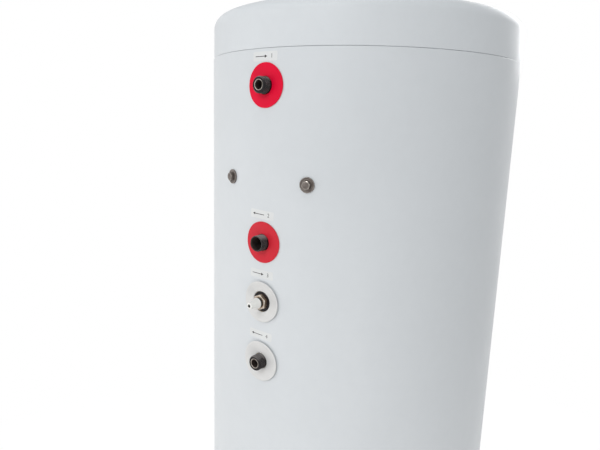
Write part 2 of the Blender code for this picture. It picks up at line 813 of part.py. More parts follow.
def rosette(name, height, hole_radius, finish):
    """A thin ring bent round the jacket."""
    mesh = bpy.data.meshes.new(name)
    shape = bmesh.new()
    for radius in (hole_radius + ROSETTE_HOLE_GAP, ROSETTE_DIAMETER / 2):
        bmesh.ops.create_circle(shape, cap_ends=False, radius=radius, segments=ROSETTE_SIDES)
    bmesh.ops.bridge_loops(shape, edges=shape.edges)
    seat = JACKET_RADIUS + FIT_GAP
    for vert in shape.verts:
        turn = vert.co.x / seat
        vert.co = (seat * math.sin(turn), -seat * math.cos(turn), vert.co.y)
    bmesh.ops.recalc_face_normals(shape, faces=shape.faces)
    outwards = sum(face.normal.y for face in shape.faces) < 0
    if not outwards:
        bmesh.ops.reverse_faces(shape, faces=shape.faces)
    shape.to_mesh(mesh)
    shape.free()
    ring = add_object(name, mesh, finish)
    ring.location.z = height
    shell = ring.modifiers.new("thickness", "SOLIDIFY")
    shell.thickness = ROSETTE_THICKNESS
    shell.offset = 1
    return bake(ring)


def connections():
    thick_stub("hot_water_stub", HOT_Z)
    thick_stub("recirculation_stub", RECIRCULATION_Z)
    thick_stub("cold_water_stub", COLD_Z)
    coil_stub("coil_inlet_stub", COIL_INLET_Z)
    coil_stub("coil_outlet_stub", COIL_OUTLET_Z)
    rosette("hot_water_rosette", HOT_Z, STUB_RADIUS, red_plastic())
    rosette("coil_inlet_rosette", COIL_INLET_Z, STUB_RADIUS, red_plastic())
    rosette("sensor_rosette", SENSOR_Z, SOCKET_DIAMETER / 2, white_plastic())
    rosette("recirculation_rosette", RECIRCULATION_Z, STUB_RADIUS, white_plastic())
    rosette("coil_outlet_rosette", COIL_OUTLET_Z, STUB_RADIUS, blue_plastic())
    rosette("cold_water_rosette", COLD_Z, STUB_RADIUS, blue_plastic())


def temperature_sensor():
    """Steel socket, brass pocket and nut, rubber seal and the white cable sleeve."""
    bore = SENSOR_BORE / 2
    sides = SENSOR_SIDES
    socket = [
        (SOCKET_BORE / 2, SOCKET_FACE),
        (SOCKET_DIAMETER / 2, SOCKET_FACE),
        (SOCKET_DIAMETER / 2, STUB_INNER_END),
        (SOCKET_BORE / 2, STUB_INNER_END),
    ]
    bake(face_out(turned("sensor_socket", socket, sides, dark_steel()), 0, SENSOR_Z))

    thread, tube_radius = POCKET_THREAD_DIAMETER / 2, POCKET_TUBE_DIAMETER / 2
    thread_end = SOCKET_FACE - POCKET_THREAD_LENGTH
    tip = COIL_RADIUS + STUB_RADIUS + POCKET_CLEAR_OF_COIL
    pocket = [
        (0, tip + POCKET_TUBE_WALL),
        (tube_radius - POCKET_TUBE_WALL, tip + POCKET_TUBE_WALL),
        (tube_radius - POCKET_TUBE_WALL, thread_end),
        (bore, thread_end + POCKET_TUBE_WALL),
        (bore, SOCKET_FACE),
        (thread, SOCKET_FACE),
        (thread, thread_end),
        (tube_radius, thread_end),
        (tube_radius, tip),
        (0, tip),
    ]
    made = turned("sensor_pocket", pocket, sides, brass_metal(), closed=False)
    bake(face_out(made, 0, SENSOR_Z))

    nut_back = SOCKET_FACE + FIT_GAP
    nut_face = nut_back + SENSOR_NUT_HEIGHT
    nut = prism("sensor_nut", hexagon(SENSOR_NUT_FLATS), nut_back, nut_face, 6, brass_metal())
    bevel(nut, SENSOR_NUT_CHAMFER, angle=80)
    start, end = nut_back - CUT_OVERRUN, nut_face + CUT_OVERRUN
    hole = prism("sensor_nut_hole", SENSOR_NUT_BORE / 2, start, end, sides)
    cut(nut, face_out(hole, 0, SENSOR_Z))
    bake(face_out(nut, 0, SENSOR_Z))

    seal_end = SOCKET_FACE + SEAL_PROUD
    cable = SLEEVE_HOLE / 2
    seal = [
        (cable, seal_end),
        (bore - FIT_GAP, seal_end),
        (bore - FIT_GAP, thread_end + POCKET_TUBE_WALL + FIT_GAP),
        (cable, thread_end + POCKET_TUBE_WALL + FIT_GAP),
    ]
    bake(face_out(turned("sensor_seal", seal, sides, black_rubber()), 0, SENSOR_Z))

    base, tip = seal_end + FIT_GAP, JACKET_RADIUS + SLEEVE_REACH
    wide, nose = SLEEVE_DIAMETER / 2, SLEEVE_NOSE_DIAMETER / 2
    sleeve = [
        (cable, tip),
        (nose - SLEEVE_NOSE_ROUNDING, tip),
        (nose, tip - SLEEVE_NOSE_ROUNDING),
        (wide, nut_face),
        (wide, base),
        (cable, base),
    ]
    bake(face_out(turned("sensor_sleeve", sleeve, sides, white_plastic()), 0, SENSOR_Z))


def coil_end(height, side):
    """From the stub inwards along Y, then round an outside bend to meet the coil."""
    reach = COIL_RADIUS + COIL_BEND_RADIUS
    centre = math.sqrt(reach ** 2 - COIL_BEND_RADIUS ** 2)
    last = math.pi / 2 - math.asin(COIL_BEND_RADIUS / reach)
    points = [(0, -(STUB_INNER_END - FIT_GAP), height)]
    for i in range(COIL_BEND_POINTS + 1):
        turn = last * i / COIL_BEND_POINTS
        x = side * COIL_BEND_RADIUS * (1 - math.cos(turn))
        points.append((x, -centre + COIL_BEND_RADIUS * math.sin(turn), height))
    return points


def coil_route():
    """Inlet end, the turns going down, and the outlet end, as one unbroken line."""
    offset = math.asin(COIL_BEND_RADIUS / (COIL_RADIUS + COIL_BEND_RADIUS))
    sweep = 2 * math.pi * COIL_TURNS - 2 * offset
    steps = COIL_TURNS * COIL_POINTS_PER_TURN
    turns = []
    for i in range(1, steps):
        angle = offset + sweep * i / steps
        height = COIL_INLET_Z + (COIL_OUTLET_Z - COIL_INLET_Z) * i / steps
        turns.append((COIL_RADIUS * math.sin(angle), -COIL_RADIUS * math.cos(angle), height))
    return coil_end(COIL_INLET_Z, 1) + turns + coil_end(COIL_OUTLET_Z, -1)[::-1]


def least_gap(points, radius, skip):
    """The narrowest space between stretches of a tube that lie further apart along it."""
    gaps = [
        math.dist(points[i], points[j]) - 2 * radius
        for i in range(len(points))
        for j in range(i + skip, len(points))
    ]
    return min(gaps)


def heat_exchanger_coil():
    route = coil_route()
    gap = least_gap(route, STUB_RADIUS, COIL_POINTS_PER_TURN // 2)
    print(f"coil: {len(route)} points, least gap between turns {gap * 1000:.1f} mm")
    return bake(tube("heat_exchanger_coil", route, STUB_RADIUS, enamel_steel(), COIL_TUBE_WALL))


def elbow_route(height, offset, rise):
    """From a stub inwards, then round a quarter bend and straight up or down."""
    side = 1 if rise > 0 else -1
    inner = STUB_INNER_END - FIT_GAP
    bend = RISER_BEND_RADIUS
    centre_y = -(inner - offset + bend)
    points = [(0, -inner, height)]
    for i in range(PIPE_BEND_POINTS + 1):
        turn = math.pi / 2 * i / PIPE_BEND_POINTS
        y, z = centre_y + bend * math.sin(turn), height + side * bend * (1 - math.cos(turn))
        points.append((0, y, z))
    points.append((0, points[-1][1], height + rise))
    return points


def inner_pipes():
    """Riser that draws from the hottest water, and the bend that lays cold water low."""
    radius = RISER_DIAMETER / 2
    reach = STUB_INNER_END - FIT_GAP - RISER_OFFSET + radius
    ceiling = head_height_at(reach, head_points(VESSEL_INNER_RADIUS, HEAD_DEPTH - VESSEL_WALL))
    rise = SHELL_TOP_Z + ceiling - RISER_TOP_GAP - HOT_Z
    riser = elbow_route(HOT_Z, RISER_OFFSET, rise)
    bake(tube("hot_water_riser", riser, radius, stainless_steel(), RISER_WALL))
    lower = elbow_route(COLD_Z, DIFFUSER_OFFSET, -DIFFUSER_DROP)
    bake(tube("cold_water_bend", lower, radius, stainless_steel(), RISER_WALL))


# Bracket bolts


def hex_bolt(name, azimuth):
    """A hexagon head and its shank, joined."""
    back = BRACKET_HEAD_BACK
    face = back + BRACKET_HEAD_HEIGHT
    head = prism(name, hexagon(BRACKET_HEAD_FLATS), back, face, 6, zinc_steel())
    bevel(head, BRACKET_HEAD_CHAMFER, angle=80)
    middle = (back + face) / 2
    shank = prism("bolt_shank", BRACKET_THREAD / 2, BRACKET_BOLT_TIP, middle, BOLT_SIDES)
    unite(head, face_out(shank, azimuth, BRACKETS_Z))
    bake(face_out(head, azimuth, BRACKETS_Z))


def bracket_fixings():
    bore = clear_bore(BRACKET_THREAD / 2, FIT_GAP, SENSOR_SIDES)
    ring, back = BRACKET_WASHER_DIAMETER / 2, JACKET_RADIUS + FIT_GAP
    face = back + BRACKET_WASHER_THICKNESS
    profile = [(bore, face), (ring, face), (ring, back), (bore, back)]
    for number, side in enumerate((-1, 1), start=1):
        azimuth = side * BRACKET_AZIMUTH
        name = f"bracket_washer_{number}"
        bake(face_out(turned(name, profile, SENSOR_SIDES, zinc_steel()), azimuth, BRACKETS_Z))
        hex_bolt(f"bracket_bolt_{number}", azimuth)


# Support ring and feet


def support_ring():
    """A rolled angle ring under the lower head, with a nut welded on over each foot."""
    inner = RING_RADIUS - RING_WALL
    bottom = PAN_TOP_Z + FIT_GAP
    top = bottom + RING_WALL
    profile = [
        (RING_RADIUS, SHELL_BOTTOM_Z - head_height_at(RING_RADIUS, HEAD_BED)),
        (RING_RADIUS, top),
        (RING_RADIUS + RING_FLANGE_WIDTH, top),
        (RING_RADIUS + RING_FLANGE_WIDTH, bottom),
        (inner, bottom),
        (inner, SHELL_BOTTOM_Z - head_height_at(inner, HEAD_BED)),
    ]
    ring = turned("support_ring", profile, TANK_SIDES, plain_steel())
    nut_top = top + STUD_NUT_HEIGHT
    for azimuth in foot_azimuths():
        nut = prism("weld_nut", hexagon(STUD_NUT_FLATS), top - RING_WALL / 2, nut_top, 6)
        unite(ring, at_foot(nut, azimuth))
    cut_stud_holes(ring, RUNNING_GAP, bottom - CUT_OVERRUN, nut_top + CUT_OVERRUN)
    bake(ring)
    return nut_top


def levelling_feet(nut_top):
    """Each foot is a pad with a threaded stud that spins in it."""
    pad, neck = FOOT_PAD_DIAMETER / 2, FOOT_NECK_DIAMETER / 2
    top = BASE_HEIGHT - FIT_GAP
    bore = clear_bore(STUD_DIAMETER / 2, RUNNING_GAP, SMALL_SIDES)
    for number, azimuth in enumerate(foot_azimuths(), start=1):
        profile = [
            (0, FOOT_SOCKET_FLOOR),
            (bore, FOOT_SOCKET_FLOOR),
            (bore, top),
            (neck, top),
            (neck, FOOT_PAD_HEIGHT + FOOT_PAD_BEVEL),
            (pad - FOOT_PAD_BEVEL, FOOT_PAD_HEIGHT),
            (pad, FOOT_PAD_HEIGHT - FOOT_PAD_BEVEL),
            (pad, 0),
            (0, 0),
        ]
        name = f"foot_pad_{number}"
        made = turned(name, profile, SMALL_SIDES, black_plastic(), closed=False)
        bake(at_foot(made, azimuth))
        start, end = FOOT_SOCKET_FLOOR + FIT_GAP, nut_top + STUD_ABOVE_NUT
        name = f"foot_stud_{number}"
        stud = prism(name, STUD_DIAMETER / 2, start, end, SMALL_SIDES, zinc_steel())
        bake(at_foot(stud, azimuth))


# Service opening


def around_flange(count, radius, first=90):
    """Places on a circle about the flange's axis, as (aside, above) pairs."""
    angles = [math.radians(first) + 2 * math.pi * i / count for i in range(count)]
    return [(radius * math.cos(a), radius * math.sin(a)) for a in angles]


def flange_bolt_places():
    return around_flange(FLANGE_BOLT_COUNT, FLANGE_BOLT_CIRCLE / 2, first=0)


def cut_at(obj, places, radius, start, end, sides=BOLT_SIDES):
    for aside, above in places:
        name = f"{obj.name}_hole"
        cutter = radial_cutter(name, radius, FRONT, FLANGE_Z, start, end, sides, aside, above)
        cut(obj, cutter)


def element_legs():
    """Both legs of each hairpin element, as (aside, above) pairs."""
    legs = []
    for aside, above in around_flange(ELEMENT_COUNT, ELEMENT_CIRCLE_RADIUS):
        across = (-above / ELEMENT_CIRCLE_RADIUS, aside / ELEMENT_CIRCLE_RADIUS)
        for side in (-1, 1):
            step = side * ELEMENT_HALF_WIDTH
            legs.append((aside + across[0] * step, above + across[1] * step))
    return legs


def service_neck():
    bore, outer = NECK_DIAMETER / 2 - NECK_WALL, NECK_DIAMETER / 2
    rim = NECK_RIM_DIAMETER / 2
    inner_end = VESSEL_INNER_RADIUS - NECK_INSIDE_WALL - NECK_DIAMETER ** 2 / 8 / VESSEL_RADIUS
    profile = [
        (bore, NECK_RIM_FACE),
        (rim, NECK_RIM_FACE),
        (rim, NECK_RIM_FACE - NECK_RIM_THICKNESS),
        (outer, NECK_RIM_FACE - NECK_RIM_THICKNESS),
        (outer, inner_end),
        (bore, inner_end),
    ]
    neck = face_out(turned("service_neck", profile, ROSETTE_SIDES, plain_steel()), FRONT, FLANGE_Z)
    hole = clear_bore(FLANGE_BOLT_DIAMETER / 2, FIT_GAP, BOLT_SIDES)
    start = NECK_RIM_FACE - NECK_RIM_THICKNESS - CUT_OVERRUN
    cut_at(neck, flange_bolt_places(), hole, start, NECK_RIM_FACE + CUT_OVERRUN)
    bake(neck)

    start, end = NECK_RIM_FACE + FIT_GAP, GASKET_FACE
    profile = [(bore, end), (rim, end), (rim, start), (bore, start)]
    gasket = turned("flange_gasket", profile, ROSETTE_SIDES, black_rubber())
    face_out(gasket, FRONT, FLANGE_Z)
    cut_at(gasket, flange_bolt_places(), hole, start - CUT_OVERRUN, end + CUT_OVERRUN)
    bake(gasket)


def service_plate():
    rim = NECK_RIM_DIAMETER / 2
    plate = prism("service_plate", rim, PLATE_BACK, PLATE_FACE, ROSETTE_SIDES, stainless_steel())
    face_out(plate, FRONT, FLANGE_Z)
    start, end = PLATE_BACK - CUT_OVERRUN, PLATE_FACE + CUT_OVERRUN
    bolt = clear_bore(FLANGE_BOLT_DIAMETER / 2, FIT_GAP, BOLT_SIDES)
    leg = clear_bore(ELEMENT_TUBE_DIAMETER / 2, FIT_GAP, BOLT_SIDES)
    stud = clear_bore(ANODE_STUD_DIAMETER / 2, FIT_GAP, BOLT_SIDES)
    bulb = clear_bore(BULB_POCKET_DIAMETER / 2, FIT_GAP, BOLT_SIDES)
    cut_at(plate, flange_bolt_places(), bolt, start, end)
    cut_at(plate, element_legs(), leg, start, end)
    cut_at(plate, [(0, 0)], stud, start, end)
    cut_at(plate, [(0, -BULB_POCKET_RADIUS)], bulb, start, end)
    bake(plate)


def heating_elements():
    """Hairpin tubes through the plate, with a blade tab on each leg."""
    outer, inner = PLATE_FACE + ELEMENT_TAIL, PLATE_BACK - ELEMENT_LENGTH
    legs = element_legs()
    half, skin = TAB_WIDTH / 2, TAB_THICKNESS / 2
    for number in range(ELEMENT_COUNT):
        (x0, z0), (x1, z1) = legs[2 * number], legs[2 * number + 1]
        route = [(x0, z0, outer)]
        for i in range(ELEMENT_BEND_POINTS + 1):
            turn = math.pi * i / ELEMENT_BEND_POINTS
            share = (1 - math.cos(turn)) / 2
            depth = inner - ELEMENT_HALF_WIDTH * math.sin(turn)
            route.append((x0 + (x1 - x0) * share, z0 + (z1 - z0) * share, depth))
        route.append((x1, z1, outer))
        name = f"heating_element_{number + 1}"
        hairpin = tube(name, route, ELEMENT_TUBE_DIAMETER / 2, stainless_steel())
        face_out(hairpin, FRONT, FLANGE_Z)
        for aside, above in ((x0, z0), (x1, z1)):
            tab = box("tab", (-half, -skin, outer - ELEMENT_TAIL / 2), (half, skin, outer + TAB_LENGTH))
            unite(hairpin, face_out(tab, FRONT, FLANGE_Z, aside, above))
        bake(hairpin)


def anode_and_pocket():
    stud = ANODE_STUD_DIAMETER / 2
    rod_face = PLATE_BACK - FIT_GAP
    profile = [
        (0, PLATE_FACE + ANODE_STUD_TAIL),
        (stud, PLATE_FACE + ANODE_STUD_TAIL),
        (stud, rod_face),
        (ANODE_DIAMETER / 2, rod_face),
        (ANODE_DIAMETER / 2, rod_face - ANODE_LENGTH),
        (0, rod_face - ANODE_LENGTH),
    ]
    rod = turned("anode_rod", profile, SMALL_SIDES, magnesium(), closed=False)
    bake(face_out(rod, FRONT, FLANGE_Z))

    back = PLATE_FACE + FIT_GAP
    face = back + ANODE_NUT_HEIGHT
    nut = prism("anode_nut", hexagon(ANODE_NUT_FLATS), back, face, 6, brass_metal())
    bore = clear_bore(stud, RUNNING_GAP, SMALL_SIDES)
    cutter = prism("anode_nut_bore", bore, back - CUT_OVERRUN, face + CUT_OVERRUN, SMALL_SIDES)
    cut(nut, face_out(cutter, FRONT, FLANGE_Z))
    bake(face_out(nut, FRONT, FLANGE_Z))

    end = PLATE_FACE + BULB_POCKET_TAIL
    radius, bore = BULB_POCKET_DIAMETER / 2, BULB_POCKET_DIAMETER / 2 - POCKET_TUBE_WALL
    tip = PLATE_BACK - BULB_POCKET_LENGTH
    profile = [
        (0, tip + POCKET_TUBE_WALL),
        (bore, tip + POCKET_TUBE_WALL),
        (bore, end),
        (radius, end),
        (radius, tip),
        (0, tip),
    ]
    pocket = turned("bulb_pocket", profile, BOLT_SIDES, stainless_steel(), closed=False)
    bake(face_out(pocket, FRONT, FLANGE_Z, 0, -BULB_POCKET_RADIUS))


# Service cover and controls


def cover_block(name, inset, finish=None):
    """The cover's outer form, or with an inset its hollow."""
    half = COVER_WIDTH / 2 - inset
    back = VESSEL_RADIUS / 2 - inset
    low = (-half, back, COVER_BOTTOM_Z + inset)
    high = (half, COVER_FRONT - inset, COVER_TOP_Z - inset)
    block = box(name, low, high, finish)
    bevel(block, COVER_EDGE_RADIUS - inset, COVER_BEVEL_SEGMENTS)
    return block


def cover_screw_places():
    half = COVER_WIDTH / 2 - COVER_SCREW_INSET
    heights = (COVER_BOTTOM_Z + COVER_SCREW_INSET, COVER_TOP_Z - COVER_SCREW_INSET)
    return [(side * half, height) for side in (-1, 1) for height in heights]


def service_cover():
    cover = cover_block("service_cover", 0, lid_plastic())
    cut(cover, cover_block("cover_hollow", COVER_WALL))
    for aside, height in cover_screw_places():
        end = COVER_FRONT - COVER_WALL / 2
        radius = COVER_POST_DIAMETER / 2
        unite(cover, radial_cutter("post", radius, FRONT, height, VESSEL_RADIUS, end, SMALL_SIDES, aside))
    below, above = COVER_BOTTOM_Z - CUT_OVERRUN, COVER_TOP_Z + CUT_OVERRUN
    cut(cover, prism("jacket_clearance", JACKET_RADIUS + FIT_GAP, below, above, TANK_SIDES))
    start, end = VESSEL_RADIUS, COVER_FRONT + CUT_OVERRUN
    shaft = clear_bore(SHAFT_DIAMETER / 2, FIT_GAP, SMALL_SIDES)
    gauge = clear_bore(GAUGE_DIAMETER / 2, FIT_GAP, ROSETTE_SIDES)
    lamp = clear_bore(LAMP_DIAMETER / 2, FIT_GAP, SMALL_SIDES)
    screw = clear_bore(COVER_SCREW_THREAD / 2, FIT_GAP, BOLT_SIDES)
    holes = [
        ("shaft_hole", shaft, CONTROL_SPACING, CONTROLS_Z, SMALL_SIDES),
        ("gauge_hole", gauge, -CONTROL_SPACING, CONTROLS_Z, ROSETTE_SIDES),
        ("lamp_hole", lamp, 0, CONTROLS_Z, SMALL_SIDES),
    ]
    for aside, height in cover_screw_places():
        holes.append(("screw_hole", screw, aside, height, BOLT_SIDES))
    for name, radius, aside, height, sides in holes:
        cut(cover, radial_cutter(name, radius, FRONT, height, start, end, sides, aside))
    gland = clear_bore(GLAND_THREAD_DIAMETER / 2, FIT_GAP, SMALL_SIDES)
    start, end = COVER_BOTTOM_Z - CUT_OVERRUN, COVER_BOTTOM_Z + COVER_WALL + CUT_OVERRUN
    hole = prism("gland_hole", gland, start, end, SMALL_SIDES)
    hole.location = (GLAND_X, GLAND_Y, 0)
    cut(cover, hole)
    return bake(cover)


def thermostat():
    """Thermostat behind the cover, with its shaft and knob in front."""
    half = THERMOSTAT_WIDTH / 2
    face = COVER_INNER_FRONT - FIT_GAP
    low = (-half, -half, face - THERMOSTAT_DEPTH)
    body = box("thermostat_body", low, (half, half, face), black_plastic())
    bevel(body, THERMOSTAT_BEVEL)
    bore = clear_bore(SHAFT_DIAMETER / 2, RUNNING_GAP, SMALL_SIDES)
    shaft_end = face - SHAFT_IN_THERMOSTAT
    cutter = prism("thermostat_bore", bore, shaft_end - FIT_GAP, face + CUT_OVERRUN, SMALL_SIDES)
    cut(body, face_out(cutter, FRONT, CONTROLS_Z, CONTROL_SPACING))
    bake(face_out(body, FRONT, CONTROLS_Z, CONTROL_SPACING))

    knob_back = COVER_FRONT + KNOB_COVER_GAP
    knob_face = knob_back + KNOB_HEIGHT
    outer_end = knob_back + SHAFT_IN_KNOB
    shaft = prism(
        "thermostat_shaft", SHAFT_DIAMETER / 2, shaft_end, outer_end, SMALL_SIDES, plain_steel()
    )
    bake(face_out(shaft, FRONT, CONTROLS_Z, CONTROL_SPACING))

    wide, narrow = KNOB_DIAMETER / 2, KNOB_TOP_DIAMETER / 2
    profile = [
        (0, knob_face),
        (narrow - KNOB_RIM, knob_face),
        (narrow, knob_face - KNOB_RIM),
        (wide, knob_back),
        (bore, knob_back),
        (bore, outer_end + FIT_GAP),
        (0, outer_end + FIT_GAP),
    ]
    knob = turned("thermostat_knob", profile, ROSETTE_SIDES, grey_plastic(), closed=False)
    grip_half = KNOB_GRIP_WIDTH / 2
    low = (-grip_half, -(narrow - KNOB_RIM), knob_face - KNOB_RIM)
    high = (grip_half, narrow - KNOB_RIM, knob_face + KNOB_GRIP_HEIGHT)
    grip = box("knob_grip", low, high)
    bevel(grip, KNOB_RIM)
    unite(knob, face_out(grip, FRONT, CONTROLS_Z, CONTROL_SPACING))
    bake(face_out(knob, FRONT, CONTROLS_Z, CONTROL_SPACING))


def thermometer():
    """Round gauge let into the cover: case with bezel, dial, needle and lens."""
    outer = GAUGE_DIAMETER / 2
    inner = outer - GAUGE_CASE_WALL
    bezel = GAUGE_BEZEL_DIAMETER / 2
    back = COVER_FRONT + FIT_GAP
    front = back + GAUGE_BEZEL_HEIGHT
    case_back = COVER_FRONT - GAUGE_CASE_DEPTH
    dial_face = front - GAUGE_DIAL_DEPTH
    floor = dial_face - GAUGE_DIAL_THICKNESS - FIT_GAP
    pin_bore = clear_bore(NEEDLE_PIN_DIAMETER / 2, RUNNING_GAP, BOLT_SIDES)
    needle_back = dial_face + NEEDLE_ABOVE_DIAL
    pin_end = needle_back - NEEDLE_PIN_LENGTH

    def place(obj):
        return bake(face_out(obj, FRONT, CONTROLS_Z, -CONTROL_SPACING))

    profile = [
        (0, pin_end - FIT_GAP),
        (pin_bore, pin_end - FIT_GAP),
        (pin_bore, floor),
        (inner, floor),
        (inner, front),
        (bezel - GAUGE_CASE_WALL, front),
        (bezel, front - GAUGE_CASE_WALL),
        (bezel, back),
        (outer, back),
        (outer, case_back),
        (0, case_back),
    ]
    place(turned("thermometer_case", profile, ROSETTE_SIDES, black_plastic(), closed=False))

    edge = (inner - FIT_GAP) * math.cos(math.pi / ROSETTE_SIDES)
    profile = [
        (pin_bore, dial_face),
        (edge, dial_face),
        (edge, dial_face - GAUGE_DIAL_THICKNESS),
        (pin_bore, dial_face - GAUGE_DIAL_THICKNESS),
    ]
    place(turned("thermometer_dial", profile, ROSETTE_SIDES, dial_card()))

    lens_face = front - GAUGE_LENS_DEPTH
    lens_back = lens_face - GAUGE_LENS_THICKNESS
    place(prism("thermometer_lens", edge, lens_back, lens_face, ROSETTE_SIDES, lens_glass()))

    needle_face = needle_back + NEEDLE_THICKNESS
    hub = prism(
        "thermometer_needle", NEEDLE_HUB_DIAMETER / 2, needle_back, needle_face, BOLT_SIDES,
        red_lamp(),
    )
    half = NEEDLE_WIDTH / 2
    tail, skin = -NEEDLE_TAIL, NEEDLE_THICKNESS / 4
    pointer = box("pointer", (-half, tail, needle_back + skin),
                  (half, NEEDLE_LENGTH, needle_face - skin))
    pin = prism("needle_pin", NEEDLE_PIN_DIAMETER / 2, pin_end, needle_face - skin, BOLT_SIDES)
    for piece in (pointer, pin):
        unite(hub, face_out(piece, FRONT, CONTROLS_Z, -CONTROL_SPACING))
    place(hub)


def indicator_lamp():
    radius, flange = LAMP_DIAMETER / 2, LAMP_FLANGE_DIAMETER / 2
    back = COVER_FRONT + FIT_GAP
    shoulder = back + LAMP_FLANGE_HEIGHT
    dome = arc(0, shoulder, LAMP_HEIGHT, 90, 0, 2)
    profile = [
        *((r * radius / LAMP_HEIGHT, z) for r, z in dome),
        (flange, shoulder),
        (flange, back),
        (radius, back),
        (radius, COVER_FRONT - LAMP_DEPTH),
        (0, COVER_FRONT - LAMP_DEPTH),
    ]
    lamp = turned("indicator_lamp", profile, SMALL_SIDES, red_lamp(), closed=False)
    bake(face_out(lamp, FRONT, CONTROLS_Z))


def cable_gland():
    """Strain relief in the cover's floor, pointing down, and its nut inside."""
    thread, flange = GLAND_THREAD_DIAMETER / 2, GLAND_FLANGE_DIAMETER / 2
    bore = GLAND_BORE / 2
    flange_top = COVER_BOTTOM_Z - FIT_GAP
    flange_bottom = flange_top - GLAND_FLANGE_HEIGHT
    nut_bottom = COVER_BOTTOM_Z + COVER_WALL + FIT_GAP
    nut_top = nut_bottom + GLAND_NUT_HEIGHT
    profile = [
        (bore, nut_top),
        (thread, nut_top),
        (thread, flange_top),
        (flange, flange_top),
        (flange, flange_bottom),
        (GLAND_CAP_DIAMETER / 2, flange_bottom),
        (GLAND_MOUTH_DIAMETER / 2, flange_bottom - GLAND_CAP_LENGTH),
        (bore, flange_bottom - GLAND_CAP_LENGTH),
    ]
    gland = turned("cable_gland", profile, SMALL_SIDES, black_plastic())
    gland.location = (GLAND_X, GLAND_Y, 0)
    bake(gland)

    nut = prism("gland_nut", hexagon(GLAND_NUT_FLATS), nut_bottom, nut_top, 6, black_plastic())
    hole = clear_bore(thread, RUNNING_GAP, SMALL_SIDES)
    start, end = nut_bottom - CUT_OVERRUN, nut_top + CUT_OVERRUN
    cutter = prism("gland_nut_bore", hole, start, end, SMALL_SIDES)
    nut.location = cutter.location = (GLAND_X, GLAND_Y, 0)
    cut(nut, cutter)
    bake(nut)


def build():
    start_scene()
    outer_jacket()
    top_lid()
    base_pan()
    foam_jacket()
    lid_foam()
    vessel_shell()
    dished_heads()
    connections()
    temperature_sensor()
    heat_exchanger_coil()
    inner_pipes()
    bracket_fixings()
    levelling_feet(support_ring())
    service_neck()
    service_plate()
    heating_elements()
    anode_and_pocket()
    service_cover()
    thermostat()
    thermometer()
    indicator_lamp()
    cable_gland()


build()
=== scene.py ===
# %% [markdown]
# # A tall hot water cylinder
# The real object is a pressure vessel foamed into a round sheet-metal jacket, with a column of
# threaded pipe stubs down one side. Its solids come from a CAD model, and this lesson gives them
# their looks. Some solids only need a better finish. Others are drawn again here with finer
# edges, threads and marks, because a CAD solid is kept coarse so that it can be simulated.
# Everything is in metres, with Z up and the pipe connections facing -Y.

# %% Load the CAD frame
import json
import math

import bmesh
import bpy
from mathutils import Matrix, Vector


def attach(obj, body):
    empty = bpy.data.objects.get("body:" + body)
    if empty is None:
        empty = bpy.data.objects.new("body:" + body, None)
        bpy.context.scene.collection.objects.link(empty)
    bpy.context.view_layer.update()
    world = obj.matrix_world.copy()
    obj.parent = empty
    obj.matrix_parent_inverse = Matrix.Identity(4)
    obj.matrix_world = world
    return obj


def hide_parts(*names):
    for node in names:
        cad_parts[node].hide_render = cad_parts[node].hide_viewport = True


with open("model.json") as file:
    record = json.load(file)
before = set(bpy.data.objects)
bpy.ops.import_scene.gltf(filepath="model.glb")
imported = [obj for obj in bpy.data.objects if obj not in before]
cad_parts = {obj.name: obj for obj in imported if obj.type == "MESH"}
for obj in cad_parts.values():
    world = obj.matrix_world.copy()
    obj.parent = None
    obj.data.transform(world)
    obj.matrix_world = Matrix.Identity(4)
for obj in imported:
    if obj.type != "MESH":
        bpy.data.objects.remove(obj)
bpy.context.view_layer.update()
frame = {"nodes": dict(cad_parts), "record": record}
record = frame["record"]
slot_of = {part["node"]: part["material_slot"] for part in record["subparts"]}
body_of = {node: body for body, group in record["behaviour"]["bodies"].items() for node in group}

# %% [markdown]
# ## The main measures
# A piece that is drawn again has to sit exactly where its solid sits. So the few sizes that
# several pieces share are written once: the jacket's radius, the height of each connection on
# the column, and the front of the service cover on the far side.

# %% Shared sizes
JACKET_RADIUS = 0.292
SHEET = 0.0007
GAP = 0.0003
SEAM_HEIGHT = 1.290
JACKET_FOOT = 0.0328
STUB_RADIUS = 0.01322
SOCKET_RADIUS = 0.0172
STUB_ROOT, THREAD_START, STUB_END = 0.2445, 0.2950, 0.3085
COVER_FRONT = 0.3180
CONTROLS_HEIGHT, CONTROL_SIDE = 0.460, 0.058
PLATE_HEIGHT = 0.300
BACK = math.pi
BOLT_HEIGHT, BOLT_TURN = 1.083, math.asin(0.080 / JACKET_RADIUS)
HEIGHTS = {
    "hot_water": 1.234, "coil_inlet": 0.9805, "sensor": 0.877,
    "recirculation": 0.769, "coil_outlet": 0.420, "cold_water": 0.180,
}

def fitting_radius(name):
    """The sensor's socket is wider than the pipe stubs."""
    return SOCKET_RADIUS if name == "sensor" else STUB_RADIUS

print("connections at", {name: round(z * 1000) for name, z in HEIGHTS.items()}, "mm")

# %% [markdown]
# ## Round pieces from an outline
# Most pieces here are round: the lid, the stubs, the knob, the feet. A maker turns them on a
# lathe. In mesh code the same thing is an outline of radius and height, spun round an axis.
# Blender's Screw modifier or its Spin tool would do it too. Writing the rings by hand is as
# short, and gives control of the number of sides and of which corners stay sharp.

# %% Mesh helpers
maker = bpy.data.collections.new("drawn_pieces")
bpy.context.scene.collection.children.link(maker)
FINISHES = {}  # materials by name, filled in further down
UPRIGHT = Matrix.Identity(4)
SAME_POINT = 0.000004
NEARLY_STRAIGHT = math.radians(86)

